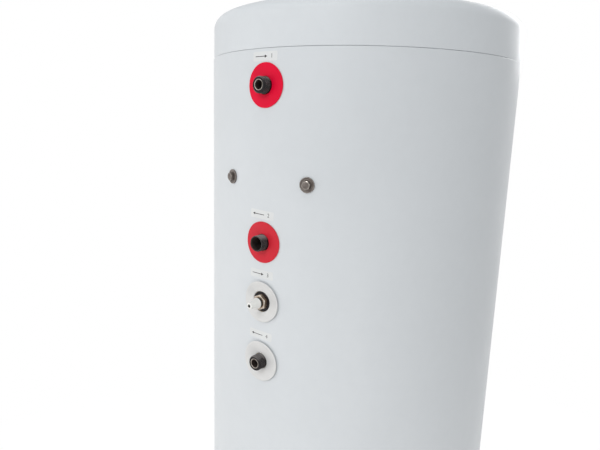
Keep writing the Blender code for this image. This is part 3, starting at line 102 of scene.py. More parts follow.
def dress(name, mesh, finish=None, sharp=32):
    """A smooth-shaded object whose edges stay crisp above an angle."""
    shape = bmesh.new()
    shape.from_mesh(mesh)
    bmesh.ops.remove_doubles(shape, verts=shape.verts, dist=SAME_POINT)
    bmesh.ops.recalc_face_normals(shape, faces=shape.faces)
    shape.to_mesh(mesh)
    shape.free()
    mesh.shade_smooth()
    mesh.set_sharp_from_angle(angle=math.radians(sharp))
    if finish:
        mesh.materials.append(FINISHES[finish])
    obj = bpy.data.objects.new(name, mesh)
    maker.objects.link(obj)
    return obj

def add_piece(name, points, faces, finish=None, sharp=32, rubbed=()):
    """An object from points and faces. rubbed has a share of bare metal for each point."""
    mesh = bpy.data.meshes.new(name)
    mesh.from_pydata([tuple(point) for point in points], [], faces)
    if rubbed:
        mesh.attributes.new("rubbed", "FLOAT", "POINT").data.foreach_set("value", rubbed)
    return dress(name, mesh, finish, sharp)

def shell(name, rings, finish=None, sharp=32, rubbed=()):
    """A closed skin from each ring of points to the next. A ring of one point is a tip."""
    sides = max(len(ring) for ring in rings)
    points, numbers, faces = [], [], []
    for ring in rings:
        numbers.append([len(points) + k % len(ring) for k in range(sides)])
        points += ring
    for low, high in zip(numbers, numbers[1:] + numbers[:1]):
        for k in range(sides):
            n = (k + 1) % sides
            corners = list(dict.fromkeys((low[k], low[n], high[n], high[k])))
            if len(corners) > 2:
                faces.append(corners)
    return add_piece(name, points, faces, finish, sharp, rubbed)

def circle(radius, height, sides, place=UPRIGHT, shaped=None):
    """A ring about the local Z axis of place, or one point where the radius is nothing."""
    if radius == 0:
        return [place @ Vector((0, 0, height))]
    ring = []
    for k in range(sides):
        turn = 2 * math.pi * k / sides
        here = shaped(radius, height, turn) if shaped else radius
        ring.append(place @ Vector((here * math.cos(turn), here * math.sin(turn), height)))
    return ring

def spun(name, outline, sides, place=UPRIGHT, finish=None, sharp=32, shaped=None):
    """An outline of (radius, height) turned about an axis. shaped changes the radius on the way."""
    rings = [circle(radius, height, sides, place, shaped) for radius, height in outline]
    return shell(name, rings, finish, sharp)

def softened(outline, radius, steps=3):
    """The outline with each corner replaced by a small arc. A point on the axis stays."""
    made = []
    for i, here in enumerate(outline):
        before, after = outline[i - 1], outline[(i + 1) % len(outline)]
        a = Vector((before[0] - here[0], before[1] - here[1]))
        b = Vector((after[0] - here[0], after[1] - here[1]))
        if here[0] == 0 or min(a.length, b.length) < 1e-7 or a.angle(b) / 2 > NEARLY_STRAIGHT:
            made.append(here)
            continue
        reach = min(radius / math.tan(a.angle(b) / 2), 0.45 * a.length, 0.45 * b.length)
        middle = Vector(here)
        start, stop = middle + a.normalized() * reach, middle + b.normalized() * reach
        for k in range(steps + 1):
            t = k / steps
            spot = start * (1 - t) ** 2 + middle * 2 * t * (1 - t) + stop * t ** 2
            made.append((spot.x, spot.y))
    return made

def outward(turn, height, aside=0.0):
    """Local Z points out of the jacket at that turn, local Y points up."""
    facing = Matrix.Rotation(turn, 4, "Z") @ Matrix.Rotation(math.pi / 2, 4, "X")
    return Matrix.Translation((0, 0, height)) @ facing @ Matrix.Translation((aside, 0, 0))

print("mesh helpers ready")

# %% [markdown]
# ## Blocks and prisms
# A few pieces aren't round. A block starts as Blender's own cube, is stretched between two
# corners, and gets rounded edges from the Bevel operator. A prism joins two flat rings of points.

# %% Blocks and prisms
def block(name, low, high, edge, place=UPRIGHT, finish=None, segments=3):
    """A block between two corners, with rounded edges."""
    shape = bmesh.new()
    bmesh.ops.create_cube(shape, size=1.0)
    for vert in shape.verts:
        vert.co = [low[i] if vert.co[i] < 0 else high[i] for i in range(3)]
    bmesh.ops.bevel(
        shape, geom=shape.edges[:], offset=edge, segments=segments, profile=0.5, affect="EDGES",
    )
    bmesh.ops.transform(shape, matrix=place, verts=shape.verts)
    mesh = bpy.data.meshes.new(name)
    shape.to_mesh(mesh)
    shape.free()
    return dress(name, mesh, finish)

def prism(name, low, high, finish=None):
    """A solid between two flat rings of points."""
    count = len(low)
    faces = [tuple(range(count))[::-1], tuple(range(count, 2 * count))]
    faces += [(k, (k + 1) % count, count + (k + 1) % count, count + k) for k in range(count)]
    return add_piece(name, low + high, faces, finish)

print("block and prism ready")

# %% [markdown]
# ## Cutting and bending
# Holes are cut with the Boolean modifier, applied at once so that the piece is plain mesh again.
# A flat sticker or rosette that clings to the jacket is drawn flat and then bent: its sideways
# distance becomes an angle round the tank. That keeps its true width, as bending does.

# %% Cutting and bending helpers
def mesh_of(obj):
    """The mesh that an object shows: with its modifiers applied, or of its letters."""
    bpy.context.view_layer.update()
    seen = obj.evaluated_get(bpy.context.evaluated_depsgraph_get())
    return bpy.data.meshes.new_from_object(seen)

def carve(obj, tools, action="DIFFERENCE", sharp=32):
    """Cuts with, joins or keeps the overlap with each tool, and then drops the tools."""
    for tool in tools:
        step = obj.modifiers.new("carve", "BOOLEAN")
        step.operation, step.solver, step.object = action, "EXACT", tool
    rough, obj.data = obj.data, mesh_of(obj)
    obj.modifiers.clear()
    bpy.data.meshes.remove(rough)
    for tool in tools:
        bpy.data.objects.remove(tool)
    obj.data.shade_smooth()
    obj.data.set_sharp_from_angle(angle=math.radians(sharp))

def peg(radius, start, stop, place, sides=40):
    """A plain round cutter."""
    return spun("cutter", [(0, start), (radius, start), (radius, stop), (0, stop)], sides, place)

def bent(points, height, lift):
    """Flat (across, up, out) points wrapped round the front of the jacket."""
    made = []
    for across, up, out in points:
        angle = across / (JACKET_RADIUS + lift)
        reach = JACKET_RADIUS + lift + out
        made.append((reach * math.sin(angle), -reach * math.cos(angle), height + up))
    return made

print("a 50 mm sticker covers", round(math.degrees(0.050 / JACKET_RADIUS), 1), "degrees")

# %% [markdown]
# ## Marks and places
# Three small jobs come back for each drawn piece. One marks on the mesh where bare metal shows,
# so that the finish can read it. One gives some faces a second finish. And one says which solid
# the piece stands for. It then rides on that solid's body, and the solid itself is hidden.
# A small piece that has no solid of its own names its body itself.

# %% Marking and placing helpers
def faces_about(obj, place):
    """Each face, its distance from the axis of place and its height along it."""
    inverse = place.inverted()
    for face in obj.data.polygons:
        local = inverse @ face.center
        yield face, math.hypot(local.x, local.y), local.z

def rub(obj, place, share_of):
    """Writes a rubbed share on each face from its radius and its tilt to the axis."""
    axis = place.to_3x3() @ Vector((0, 0, 1))
    marks = obj.data.attributes.new("rubbed", "FLOAT", "CORNER")
    for face, radius, _ in faces_about(obj, place):
        for index in face.loop_indices:
            marks.data[index].value = share_of(radius, face.normal.dot(axis))

def second_finish(obj, place, finish, chosen):
    """Gives another finish to the faces that chosen(radius, height) picks."""
    obj.data.materials.append(FINISHES[finish])
    for face, radius, height in faces_about(obj, place):
        if chosen(radius, height):
            face.material_index = len(obj.data.materials) - 1

def stands_for(obj, node):
    """The piece rides on that solid's body, and the solid itself is hidden."""
    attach(obj, body_of[node])
    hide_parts(node)

def rides_along(obj, body="tank"):
    """The piece has no solid of its own."""
    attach(obj, body)

print("marking and placing helpers ready")

# %% [markdown]
# ## Small steps between nodes
# A finish is a tree of nodes. A few helpers keep that readable: each makes one node, feeds it
# with plain values or with what other nodes give out, and returns its result. One more starts a
# node group with named inputs. Colours are read off the real surfaces on a screen's scale of
# 0 to 255, and a shader wants them linear, so one helper converts them.

# %% Node helpers
def feed(tree, value, socket):
    """Links what another node gives out, or sets a plain value."""
    if isinstance(value, bpy.types.NodeSocket):
        tree.links.new(value, socket)
    else:
        socket.default_value = value

def noise(tree, scale, detail=3.0, rough=0.55, where=None):
    """A noise pattern that is fixed to the piece."""
    if where is None:
        where = tree.nodes.new("ShaderNodeTexCoord").outputs["Object"]
    node = tree.nodes.new("ShaderNodeTexNoise")
    values = {"Vector": where, "Scale": scale, "Detail": detail, "Roughness": rough}
    for label, value in values.items():
        feed(tree, value, node.inputs[label])
    return node.outputs["Fac"]

def ramp(tree, source, low, high, to_low=0.0, to_high=1.0):
    """Stretches part of a value's range."""
    node = tree.nodes.new("ShaderNodeMapRange")
    for socket, value in zip(node.inputs, (source, low, high, to_low, to_high)):
        feed(tree, value, socket)
    return node.outputs["Result"]

def sums(tree, action, a, b):
    """Two values added, multiplied or compared."""
    node = tree.nodes.new("ShaderNodeMath")
    node.operation = action
    for socket, value in zip(node.inputs, (a, b)):
        feed(tree, value, socket)
    return node.outputs["Value"]

def blended(tree, share, a, b, kind="RGBA"):
    """From a to b by a share: two colours, or two values where the kind is FLOAT."""
    node = tree.nodes.new("ShaderNodeMix")
    node.data_type = kind
    first, result = (6, 2) if kind == "RGBA" else (2, 0)
    for index, value in ((0, share), (first, a), (first + 1, b)):
        feed(tree, value, node.inputs[index])
    return node.outputs[result]

def colour(red, green, blue):
    """A screen colour of 0 to 255 as the linear value that a shader wants."""
    shares = [value / 255 for value in (red, green, blue)]
    return (*(s / 12.92 if s <= 0.04045 else ((s + 0.055) / 1.055) ** 2.4 for s in shares), 1.0)

def start_group(name, result, **inputs):
    """A node group with named inputs and one output. A tuple is a colour."""
    tree = bpy.data.node_groups.new(name, "ShaderNodeTree")
    for label, value in inputs.items():
        kind = "NodeSocketColor" if isinstance(value, tuple) else "NodeSocketFloat"
        label = label.replace("_", " ")
        tree.interface.new_socket(label, in_out="INPUT", socket_type=kind).default_value = value
    kind = "NodeSocketColor" if result == "Colour" else "NodeSocketFloat"
    tree.interface.new_socket(result, in_out="OUTPUT", socket_type=kind)
    given, out = tree.nodes.new("NodeGroupInput"), tree.nodes.new("NodeGroupOutput")
    return tree, given.outputs, out.inputs[result]

print("mid grey on the screen is", round(colour(128, 128, 128)[0], 3), "for a shader")

# %% [markdown]
# ## Shared surface effects
# No real surface has one even colour. Six effects come back on many of these finishes, so each
# is built once as a node group: a slow drift between two colours, an uneven gloss, the fine
# relief of paint or moulded plastic, small scuffs, edges rubbed bare, and a light film on what
# faces up. On most finishes that film is dust. On the dark stubs it is so strong that it is also
# a painted highlight on their upper side. Each group gives out only a colour, a mask or a value
# that changes over the surface. The shader stays in the material, where its plain values can be
# read and changed.

# %% The six shared effects
def colour_drift():
    """Slow and fine change between two close colours."""
    tree, given, out = start_group(
        "colour_drift", "Colour", Main_Colour=(0.8, 0.8, 0.8, 1),
        Second_Colour=(0.7, 0.7, 0.7, 1), Patch_Scale=6.0,
    )
    slow = noise(tree, given["Patch Scale"], 2.0)
    fine = noise(tree, sums(tree, "MULTIPLY", given["Patch Scale"], 17.0), 4.0, 0.65)
    slow, fine = sums(tree, "MULTIPLY", slow, 0.7), sums(tree, "MULTIPLY", fine, 0.3)
    share = ramp(tree, sums(tree, "ADD", slow, fine), 0.36, 0.64)
    feed(tree, blended(tree, share, given["Main Colour"], given["Second Colour"]), out)
    return tree

def uneven_gloss():
    """Roughness that wanders between a smooth and a rough value."""
    tree, given, out = start_group(
        "uneven_gloss", "Roughness", Haze_Scale=30.0, Smoothest=0.3, Roughest=0.5,
    )
    haze = noise(tree, given["Haze Scale"], 4.0)
    feed(tree, ramp(tree, haze, 0.3, 0.7, given["Smoothest"], given["Roughest"]), out)
    return tree

def fine_relief():
    """Height of a skin: soft waves with a finer grain on top."""
    tree, given, out = start_group("fine_relief", "Height", Wave_Scale=300.0, Grain_Share=0.4)
    waves = noise(tree, given["Wave Scale"], 1.5)
    grain = noise(tree, sums(tree, "MULTIPLY", given["Wave Scale"], 4.3), 3.0, 0.7)
    feed(tree, sums(tree, "ADD", waves, sums(tree, "MULTIPLY", grain, given["Grain Share"])), out)
    return tree

def scuffs():
    """Mask of thin marks and rubbed spots, drawn out along one direction."""
    tree, given, out = start_group("scuffs", "Mask", Scuff_Scale=40.0, Amount=0.3)
    where = tree.nodes.new("ShaderNodeTexCoord")
    stretch = tree.nodes.new("ShaderNodeMapping")
    stretch.inputs["Scale"].default_value = (1.0, 1.0, 0.16)
    stretch.inputs["Rotation"].default_value = (0.3, 0.5, 0.2)
    tree.links.new(where.outputs["Object"], stretch.inputs["Vector"])
    marks = noise(tree, given["Scuff Scale"], 5.0, 0.72, stretch.outputs["Vector"])
    start = sums(tree, "SUBTRACT", 0.74, sums(tree, "MULTIPLY", given["Amount"], 0.22))
    feed(tree, ramp(tree, marks, start, sums(tree, "ADD", start, 0.09)), out)
    return tree

def rubbed_edges():
    """Mask of bare metal, where a piece's mesh is marked as rubbed, with a ragged border."""
    tree, given, out = start_group("rubbed_edges", "Mask", Border_Scale=600.0)
    marked = tree.nodes.new("ShaderNodeAttribute")
    marked.attribute_name = "rubbed"
    ragged = ramp(tree, noise(tree, given["Border Scale"], 4.0, 0.7), 0.30, 0.62)
    feed(tree, sums(tree, "MULTIPLY", marked.outputs["Fac"], ragged), out)
    return tree

def settled_dust():
    """Mask of a thin film on surfaces that face up: dust, and where it is strong also a painted
    highlight on their tops.
    """
    tree, given, out = start_group("settled_dust", "Mask", Amount=0.3)
    split = tree.nodes.new("ShaderNodeSeparateXYZ")
    geometry = tree.nodes.new("ShaderNodeNewGeometry")
    tree.links.new(geometry.outputs["Normal"], split.inputs["Vector"])
    upward = ramp(tree, split.outputs["Z"], 0.40, 0.98)
    patchy = ramp(tree, noise(tree, 26.0, 5.0, 0.7), 0.35, 0.7, 0.60, 1.0)
    film = sums(tree, "MULTIPLY", upward, patchy)
    feed(tree, sums(tree, "MULTIPLY", film, given["Amount"]), out)
    return tree

DRIFT, GLOSS, RELIEF = colour_drift(), uneven_gloss(), fine_relief()
SCUFFS, EDGES, DUST_AND_SHEEN = scuffs(), rubbed_edges(), settled_dust()
effects = (DRIFT, GLOSS, RELIEF, SCUFFS, EDGES, DUST_AND_SHEEN)
print("shared effects:", ", ".join(tree.name for tree in effects))

# %% [markdown]
# ## One way to build a finish
# Paint, plastic, rubber and metal differ in colour, gloss and relief, but they are put together
# in the same order. So one function places the groups and takes the numbers. The second, close
# colour gives the drift. Plain values such as the metal share and the coat are set straight on
# the shader.

# %% The finish builder
# Pale grey of dust, which on the dark stubs also serves as a painted highlight on their tops.
DUST_AND_SHEEN_COLOUR = colour(184, 179, 176)
COAT_ROUGHNESS = 0.12

def set_inputs(node, values):
    """Plain values by the names of a node's inputs, with _ in place of a space."""
    for label, value in values.items():
        node.inputs[label.replace("_", " ")].default_value = value

def use_group(tree, group, **values):
    node = tree.nodes.new("ShaderNodeGroup")
    node.node_tree = group
    set_inputs(node, values)
    return node.outputs[0]

def new_material(name, **values):
    """A material whose shader has these plain values."""
    made = bpy.data.materials.new(name)
    made.use_nodes = True
    shader = made.node_tree.nodes["Principled BSDF"]
    set_inputs(shader, values)
    return made, made.node_tree, shader

def finish(name, main, second, gloss, patch, wave, grain, relief, depth=0.0002, worn=None,
           worn_gloss=None, rubbed=0.0, dust_and_sheen=0.0, metal=0.0, coat=0.0, shine=0.5):
    """A finish with drift, relief, wear and dust. Strong dust also paints a highlight on what faces
    up. Gloss is (smoothest, roughest). Patch and wave say how fine the drift and the relief are.
    Worn is (colour, amount, fineness)."""
    made, tree, shader = new_material(
        name, Metallic=metal, Specular_IOR_Level=shine, Coat_Weight=coat,
        Coat_Roughness=COAT_ROUGHNESS,
    )
    shade = use_group(
        tree, DRIFT, Main_Colour=colour(*main), Second_Colour=colour(*second), Patch_Scale=patch,
    )
    rough = use_group(tree, GLOSS, Haze_Scale=patch * 5, Smoothest=gloss[0], Roughest=gloss[1])
    height = use_group(tree, RELIEF, Wave_Scale=wave, Grain_Share=grain)
    if worn:
        worn_colour, amount, fineness = worn
        mask = use_group(tree, SCUFFS, Scuff_Scale=fineness, Amount=amount)
        if rubbed:
            mask = sums(tree, "MAXIMUM", mask, use_group(tree, EDGES, Border_Scale=rubbed))
        shade = blended(tree, mask, shade, colour(*worn_colour))
        if worn_gloss:
            rough = blended(tree, mask, rough, worn_gloss, "FLOAT")
    # A film on faces that point up: dust, and on the dark stubs also a painted highlight.
    if dust_and_sheen:
        film = use_group(tree, DUST_AND_SHEEN, Amount=dust_and_sheen)
        shade = blended(tree, film, shade, DUST_AND_SHEEN_COLOUR)
        rough = sums(tree, "MINIMUM", sums(tree, "ADD", rough, film), 1.0)
    bump = tree.nodes.new("ShaderNodeBump")
    set_inputs(bump, {"Strength": relief, "Distance": depth})
    feed(tree, height, bump.inputs["Height"])
    feed(tree, shade, shader.inputs["Base Color"])
    feed(tree, rough, shader.inputs["Roughness"])
    feed(tree, bump.outputs["Normal"], shader.inputs["Normal"])
    FINISHES[name] = made

print("the finish builder is ready")

# %% [markdown]
# ## The finishes of paint and plastic
# The jacket is powder-coated steel: a cool, faintly blue grey-white with an orange-peel skin of
# waves about two millimetres wide. The lid is moulded in a close white. The rosettes are glossy
# coloured plastic, and one red one comes from another batch and is a little paler. Each line
# gives the colour, the second colour, the gloss, and then how fine the patches and waves are,
# how strong the grain and the relief.

# %% Paint, plastic, rubber and print
finish("jacket_paint", (213, 217, 220), (209, 213, 216), (0.32, 0.42), 3, 420, 0.25, 0.16,
       depth=0.00025, worn=((202, 205, 206), 0.10, 16), dust_and_sheen=0.10, shine=0.35)
finish("lid_plastic", (215, 219, 222), (211, 215, 218), (0.38, 0.48), 4, 700, 0.5, 0.14,
       worn=((204, 207, 208), 0.10, 20), dust_and_sheen=0.16, shine=0.35)
finish("white_plastic", (217, 217, 216), (211, 211, 210), (0.30, 0.42), 18, 900, 0.4, 0.12,
       worn=((202, 202, 199), 0.18, 60), shine=0.4)
finish("sleeve_plastic", (240, 240, 236), (234, 234, 230), (0.28, 0.40), 60, 1100, 0.4, 0.12,
       worn=((222, 221, 214), 0.16, 120), shine=0.4)
for name, main, second, worn in (
    ("red_plastic", (229, 8, 56), (221, 6, 50), (222, 36, 64)),
    ("faded_red_plastic", (212, 44, 60), (205, 40, 54), (208, 62, 72)),
    ("blue_plastic", (14, 80, 172), (10, 72, 160), (40, 98, 178)),
):
    finish(name, main, second, (0.34, 0.48), 14, 900, 0.3, 0.12, worn=(worn, 0.12, 60), shine=0.14)
finish("black_plastic", (32, 32, 34), (24, 24, 26), (0.42, 0.56), 12, 1100, 0.6, 0.25,
       worn=((62, 62, 62), 0.22, 50), dust_and_sheen=0.22)
finish("grey_plastic", (118, 122, 126), (108, 112, 116), (0.38, 0.50), 30, 1400, 0.5, 0.2,
       worn=((148, 150, 152), 0.2, 90))
finish("black_rubber", (24, 22, 22), (36, 34, 33), (0.62, 0.80), 40, 1500, 0.7, 0.3,
       dust_and_sheen=0.25, shine=0.3)
finish("red_lamp", (196, 20, 16), (172, 12, 10), (0.08, 0.16), 160, 1800, 0.3, 0.08, coat=0.5)
finish("dial_card", (236, 236, 232), (229, 229, 224), (0.50, 0.62), 60, 1800, 0.5, 0.1, shine=0.3)
finish("sticker_film", (221, 223, 223), (217, 219, 219), (0.36, 0.48), 22, 900, 0.4, 0.08,
       shine=0.35)
finish("printed_ink", (58, 56, 58), (74, 72, 74), (0.44, 0.6), 400, 2200, 0.5, 0.05, shine=0.3)
print(len(FINISHES), "finishes of paint and plastic")

# %% [markdown]
# ## The finishes of metal
# The stubs are painted nearly black and rubbed bare where a spanner or a union nut touched them.
# The bolts carry dull zinc that has weathered to grey-brown. A finish with a number for
# "rubbed" reads the marks on the mesh, and the number says how ragged the border is. The paint
# on the stubs and the weathered zinc aren't wholly metal, so their metal share is low.

# %% Metals of the outside
# The stubs get so much dust that it also paints a highlight along their upper side.
finish("dark_steel", (28, 22, 25), (13, 9, 11), (0.20, 0.34), 150, 1300, 0.7, 0.5, depth=0.0003,
       worn=((184, 175, 173), 0.22, 130), worn_gloss=0.26, rubbed=620, metal=0.12, shine=0.28,
       dust_and_sheen=0.7)
finish("zinc_steel", (128, 120, 115), (96, 88, 83), (0.28, 0.46), 130, 1500, 0.6, 0.35,
       worn=((178, 171, 164), 0.3, 170), worn_gloss=0.14, rubbed=420, metal=0.55)
finish("brass_metal", (194, 176, 156), (142, 118, 96), (0.16, 0.30), 120, 1500, 0.5, 0.25,
       worn=((224, 217, 207), 0.38, 140), worn_gloss=0.12, rubbed=420, metal=0.7)
finish("bare_ring", (206, 197, 187), (166, 156, 145), (0.24, 0.38), 170, 1800, 0.5, 0.25,
       worn=((236, 229, 220), 0.30, 200), metal=0.5)
finish("rusty_bore", (70, 58, 54), (42, 36, 35), (0.60, 0.80), 120, 900, 0.8, 0.5, depth=0.0004,
       worn=((112, 88, 70), 0.25, 90), shine=0.3)
print(len(FINISHES), "finishes for the outside")

# %% [markdown]
# ## Finishes of the inside
# The inside is only seen in a section or an open service hole, but it is finished as well. The
# vessel is coated with dark blue glass enamel that flows into soft waves. Foam has cells, which
# a Voronoi pattern would draw; here a strong, coarse relief is enough at this size. The lens of
# the thermometer is made last: its gloss changes a little where it was wiped.

# %% Finishes of the inside and of the glass
finish("enamel_steel", (34, 46, 66), (26, 36, 54), (0.14, 0.26), 10, 160, 0.15, 0.25,
       depth=0.0006, worn=((58, 70, 92), 0.2, 80), coat=0.4)
finish("stainless_steel", (176, 176, 174), (160, 160, 159), (0.22, 0.36), 60, 1400, 0.5, 0.15,
       worn=((124, 116, 104), 0.3, 60), metal=1.0)
finish("plain_steel", (142, 142, 144), (122, 122, 125), (0.32, 0.46), 40, 1200, 0.5, 0.2,
       worn=((100, 88, 78), 0.25, 70), metal=1.0)
finish("magnesium", (150, 150, 148), (128, 128, 127), (0.50, 0.66), 50, 500, 0.6, 0.4, metal=0.7)
finish("foam", (230, 208, 152), (214, 186, 122), (0.80, 0.94), 22, 520, 0.8, 0.7, depth=0.001)

def clear_lens():
    """Glass of the thermometer: see-through, with faint wiping marks in its gloss."""
    made, tree, shader = new_material(
        "lens_glass", Base_Color=(0.97, 0.98, 0.98, 1), Transmission_Weight=1.0, IOR=1.45,
    )
    wiped = use_group(tree, SCUFFS, Scuff_Scale=120.0, Amount=0.4)
    feed(tree, ramp(tree, wiped, 0.0, 1.0, 0.02, 0.12), shader.inputs["Roughness"])
    FINISHES["lens_glass"] = made

clear_lens()
print(len(FINISHES), "finishes in all")

# %% [markdown]
# ## Finishes onto the CAD solids
# The record says which material each solid is made of. A solid whose shape is good enough as it
# is keeps its mesh and only gets the finish. The mesh itself is never touched.

# %% Dress every solid
for node, solid in frame["nodes"].items():
    solid.data.materials.clear()
    solid.data.materials.append(FINISHES[slot_of[node]])
print("dressed", len(slot_of), "solids")

# %% [markdown]
# ## The jacket
# The jacket is a thin sheet rolled into a cylinder, so its shading must be perfectly even: any
# facet shows at once on a pale gloss surface. It is spun with many sides and rows, the holes are
# cut, and then the shading normals are set to point straight out from the axis. That is a trick
# worth knowing. A cut leaves long thin faces round a hole, and without it they would shade as
# smudges. The upper edge is rolled a little so that it catches a line of light at the seam.

# %% Draw the jacket
JACKET_SIDES, ROWS = 180, 48
SKIN_TOP = SEAM_HEIGHT - 0.0007

def straight_out(obj, low, high):
    """Shading normals of the upright skin point away from the tank's axis."""
    mesh = obj.data
    normals = []
    for face in mesh.polygons:
        for index in face.loop_indices:
            point = mesh.vertices[mesh.loops[index].vertex_index].co
            away = Vector((point.x, point.y, 0)).normalized()
            facing = face.normal.dot(away)
            if abs(face.normal.z) < 0.2 and low < point.z < high and abs(facing) > 0.99:
                normals.append(away if facing > 0 else -away)
            else:
                normals.append(mesh.corner_normals[index].vector.copy())
    mesh.normals_split_custom_set(normals)

row = (SKIN_TOP - JACKET_FOOT) / ROWS
outside = [(JACKET_RADIUS, JACKET_FOOT + row * i) for i in range(ROWS + 1)]
lip = [(JACKET_RADIUS - 0.0001, SEAM_HEIGHT - 0.0003), (JACKET_RADIUS - 0.00035, SEAM_HEIGHT)]
inside = [(JACKET_RADIUS - SHEET, SEAM_HEIGHT - 0.0003), (JACKET_RADIUS - SHEET, JACKET_FOOT)]
jacket = spun("jacket_sheet", outside + lip + inside, JACKET_SIDES, UPRIGHT, "jacket_paint")
cutters = [
    peg(fitting_radius(name) + 0.006, 0.27, 0.30, outward(0, height))
    for name, height in HEIGHTS.items()
]
cutters += [peg(0.0095, 0.27, 0.30, outward(side * BOLT_TURN, BOLT_HEIGHT)) for side in (-1, 1)]
cutters.append(peg(0.088, 0.265, 0.30, outward(BACK, PLATE_HEIGHT), 72))
carve(jacket, cutters)
straight_out(jacket, JACKET_FOOT - 0.001, SEAM_HEIGHT - 0.0004)
stands_for(jacket, "outer_jacket")
print("jacket faces:", len(jacket.data.polygons))

# %% [markdown]
# ## The lid
# The lid is a shallow cap that tucks inside the jacket. A narrow shadow groove runs round it just
# above the jacket's edge, and that is what the eye sees as the thin dark seam line. A dark
# stripe of paint would look the same from the front only; a real groove keeps its own shade from
# every side. The top is slightly crowned so that water runs off.

# %% Draw the lid
def lid_outline():
    skin, edge, groove, groove_top = 0.0025, 0.022, 0.0019, SEAM_HEIGHT + 0.0006
    outer, top, tuck = JACKET_RADIUS - SHEET - GAP, SEAM_HEIGHT + 0.080, SEAM_HEIGHT - 0.015
    edge_z, edge_r = top - 0.004 - edge, outer - edge

    def arc(radius, degrees):
        turns = [math.radians(angle) for angle in degrees]
        return [(edge_r + radius * math.cos(t), edge_z + radius * math.sin(t)) for t in turns]

    crown = [(0.0, top), (0.09, top - 0.0003), (0.18, top - 0.0016), (edge_r - 0.02, top - 0.0031)]
    rim = [
        (outer, groove_top + 0.0004), (outer - 0.0003, groove_top),
        (outer - groove, groove_top), (outer - groove, SEAM_HEIGHT - 0.0008),
        (outer, SEAM_HEIGHT - 0.0016), (outer, tuck), (outer - skin, tuck), (outer - skin, edge_z),
    ]
    under = arc(edge - skin, range(15, 91, 15)) + [(0.0, top - skin - 0.004)]
    return crown + arc(edge, range(90, -1, -9)) + rim + under

lid = spun("lid_cap", lid_outline(), JACKET_SIDES, UPRIGHT, "lid_plastic")
stands_for(lid, "top_lid")

# %% [markdown]
# ## Rosettes
# A rosette is a thin plastic ring pushed over a pipe stub to hide the hole in the jacket. Red
# marks hot pipes and blue marks cold ones, and these lie flat. The lower red one is from another
# batch and a little paler. The white ones are dished a little: their rim stands proud and throws
# a fine shadow, and the upper half looks darker than the lower. Each is drawn as a ring of
# several circles and then wrapped round the jacket.

# %% Draw the rosettes
def flat_section(hole, outer=0.035, thick=0.0012):
    return softened([
        (hole, 0.0), (outer, 0.0), (outer, thick), (outer - 0.002, thick),
        ((outer + hole) / 2, thick), (hole, thick),
    ], 0.0005)

def dished_section(hole, outer=0.0356, rim=0.0032):
    wide = outer - hole
    return softened([
        (hole, 0.0), (hole + wide * 0.35, 0.0), (outer - 0.0016, rim - 0.0012),
        (outer, rim - 0.0011), (outer, rim), (outer - 0.0022, rim),
        (outer - wide * 0.30, rim * 0.70), (hole + wide * 0.30, 0.0009), (hole, 0.0008),
    ], 0.0005)

PALER = {"coil_inlet": "faded_red_plastic"}
for name, height in HEIGHTS.items():
    node = f"{name}_rosette"
    section = dished_section if slot_of[node] == "white_plastic" else flat_section
    outline = section(fitting_radius(name) + 0.0008)
    rings = [bent(circle(radius, out, 96), height, GAP) for radius, out in outline]
    stands_for(shell(f"{name}_ring", rings, PALER.get(name, slot_of[node]), 50), node)
print("rosettes:", len(HEIGHTS))

# %% [markdown]
# ## Threaded stubs
# Each stub is a three-quarter-inch pipe end with a right-hand thread of 14 turns to the inch. A
# thread could be a bump pattern, but its outline shows against the rosette, so it is real
# geometry: rings of points whose radius rises and falls with a phase that moves on by one turn
# per pitch. The crests are marked with a value called "rubbed", which the dark finish reads to
# show bare metal where the paint has worn off first.

# %% Draw a threaded tube
PIPE_PITCH = 0.0254 / 14
RINGS_PER_PITCH = 7
CREST_RUBBED = 0.26

def threaded_tube(name, radius, pitch, depth, start, plain_to, thread_to, inner, place, finish,
                  sides=60, chamfer=0.0016):
    """A tube that is plain, then threaded. inner lists (radius, height, rubbed) of its bore."""
    rubbed = []

    def crest_and_root(_, height, turn):
        here, threaded = radius, height > plain_to
        if threaded:
            phase = (height / pitch - turn / (2 * math.pi)) % 1.0
            crest = min(1.0, max(0.0, 1.25 - 3.2 * abs(phase - 0.5)))
            here -= depth * (1 - crest) * min(1.0, (height - plain_to) / pitch)
        here = min(here, radius - chamfer + max(0.0, thread_to - height))
        on_crest = threaded and here > radius - depth * 0.15
        rubbed.append(CREST_RUBBED if on_crest else 0.0)
        return here

    count = max(2, round((thread_to - plain_to) / pitch * RINGS_PER_PITCH))
    heights = [start, plain_to - 0.0004]
    heights += [plain_to + (thread_to - plain_to) * i / count for i in range(count + 1)]
    rings = [circle(radius, height, sides, place, crest_and_root) for height in heights]
    for bore, height, mark in inner:
        rings.append(circle(bore, height, sides, place))
        rubbed += [mark] * sides
    return shell(name, rings, finish, 40, rubbed)

print("pitch of the pipe thread:", round(PIPE_PITCH * 1000, 3), "mm")

# %% [markdown]
# ## Two kinds of stub
# The water connections have a heavy wall: a narrow bore with a turned, bare mouth that a washer
# seals on. The two ends of the heat exchanger are the tube itself, so their wall is thin and
# the bore is wide. The bare mouth is a separate ring with its own finish, and the bores have a
# brown film, as untreated pipe has after its first test with water.

# %% Draw the stubs
def pipe_stub(name, bore, inner, depth, chamfer):
    place = outward(0, HEIGHTS[name])
    tube = threaded_tube(
        f"{name}_pipe_end", STUB_RADIUS, PIPE_PITCH, depth, STUB_ROOT, THREAD_START, STUB_END,
        inner + [(bore, STUB_ROOT, 0.0)], place, "dark_steel", chamfer=chamfer,
    )
    second_finish(tube, place, "rusty_bore", lambda radius, height: radius < bore + 0.0002)
    stands_for(tube, f"{name}_stub")
    return place

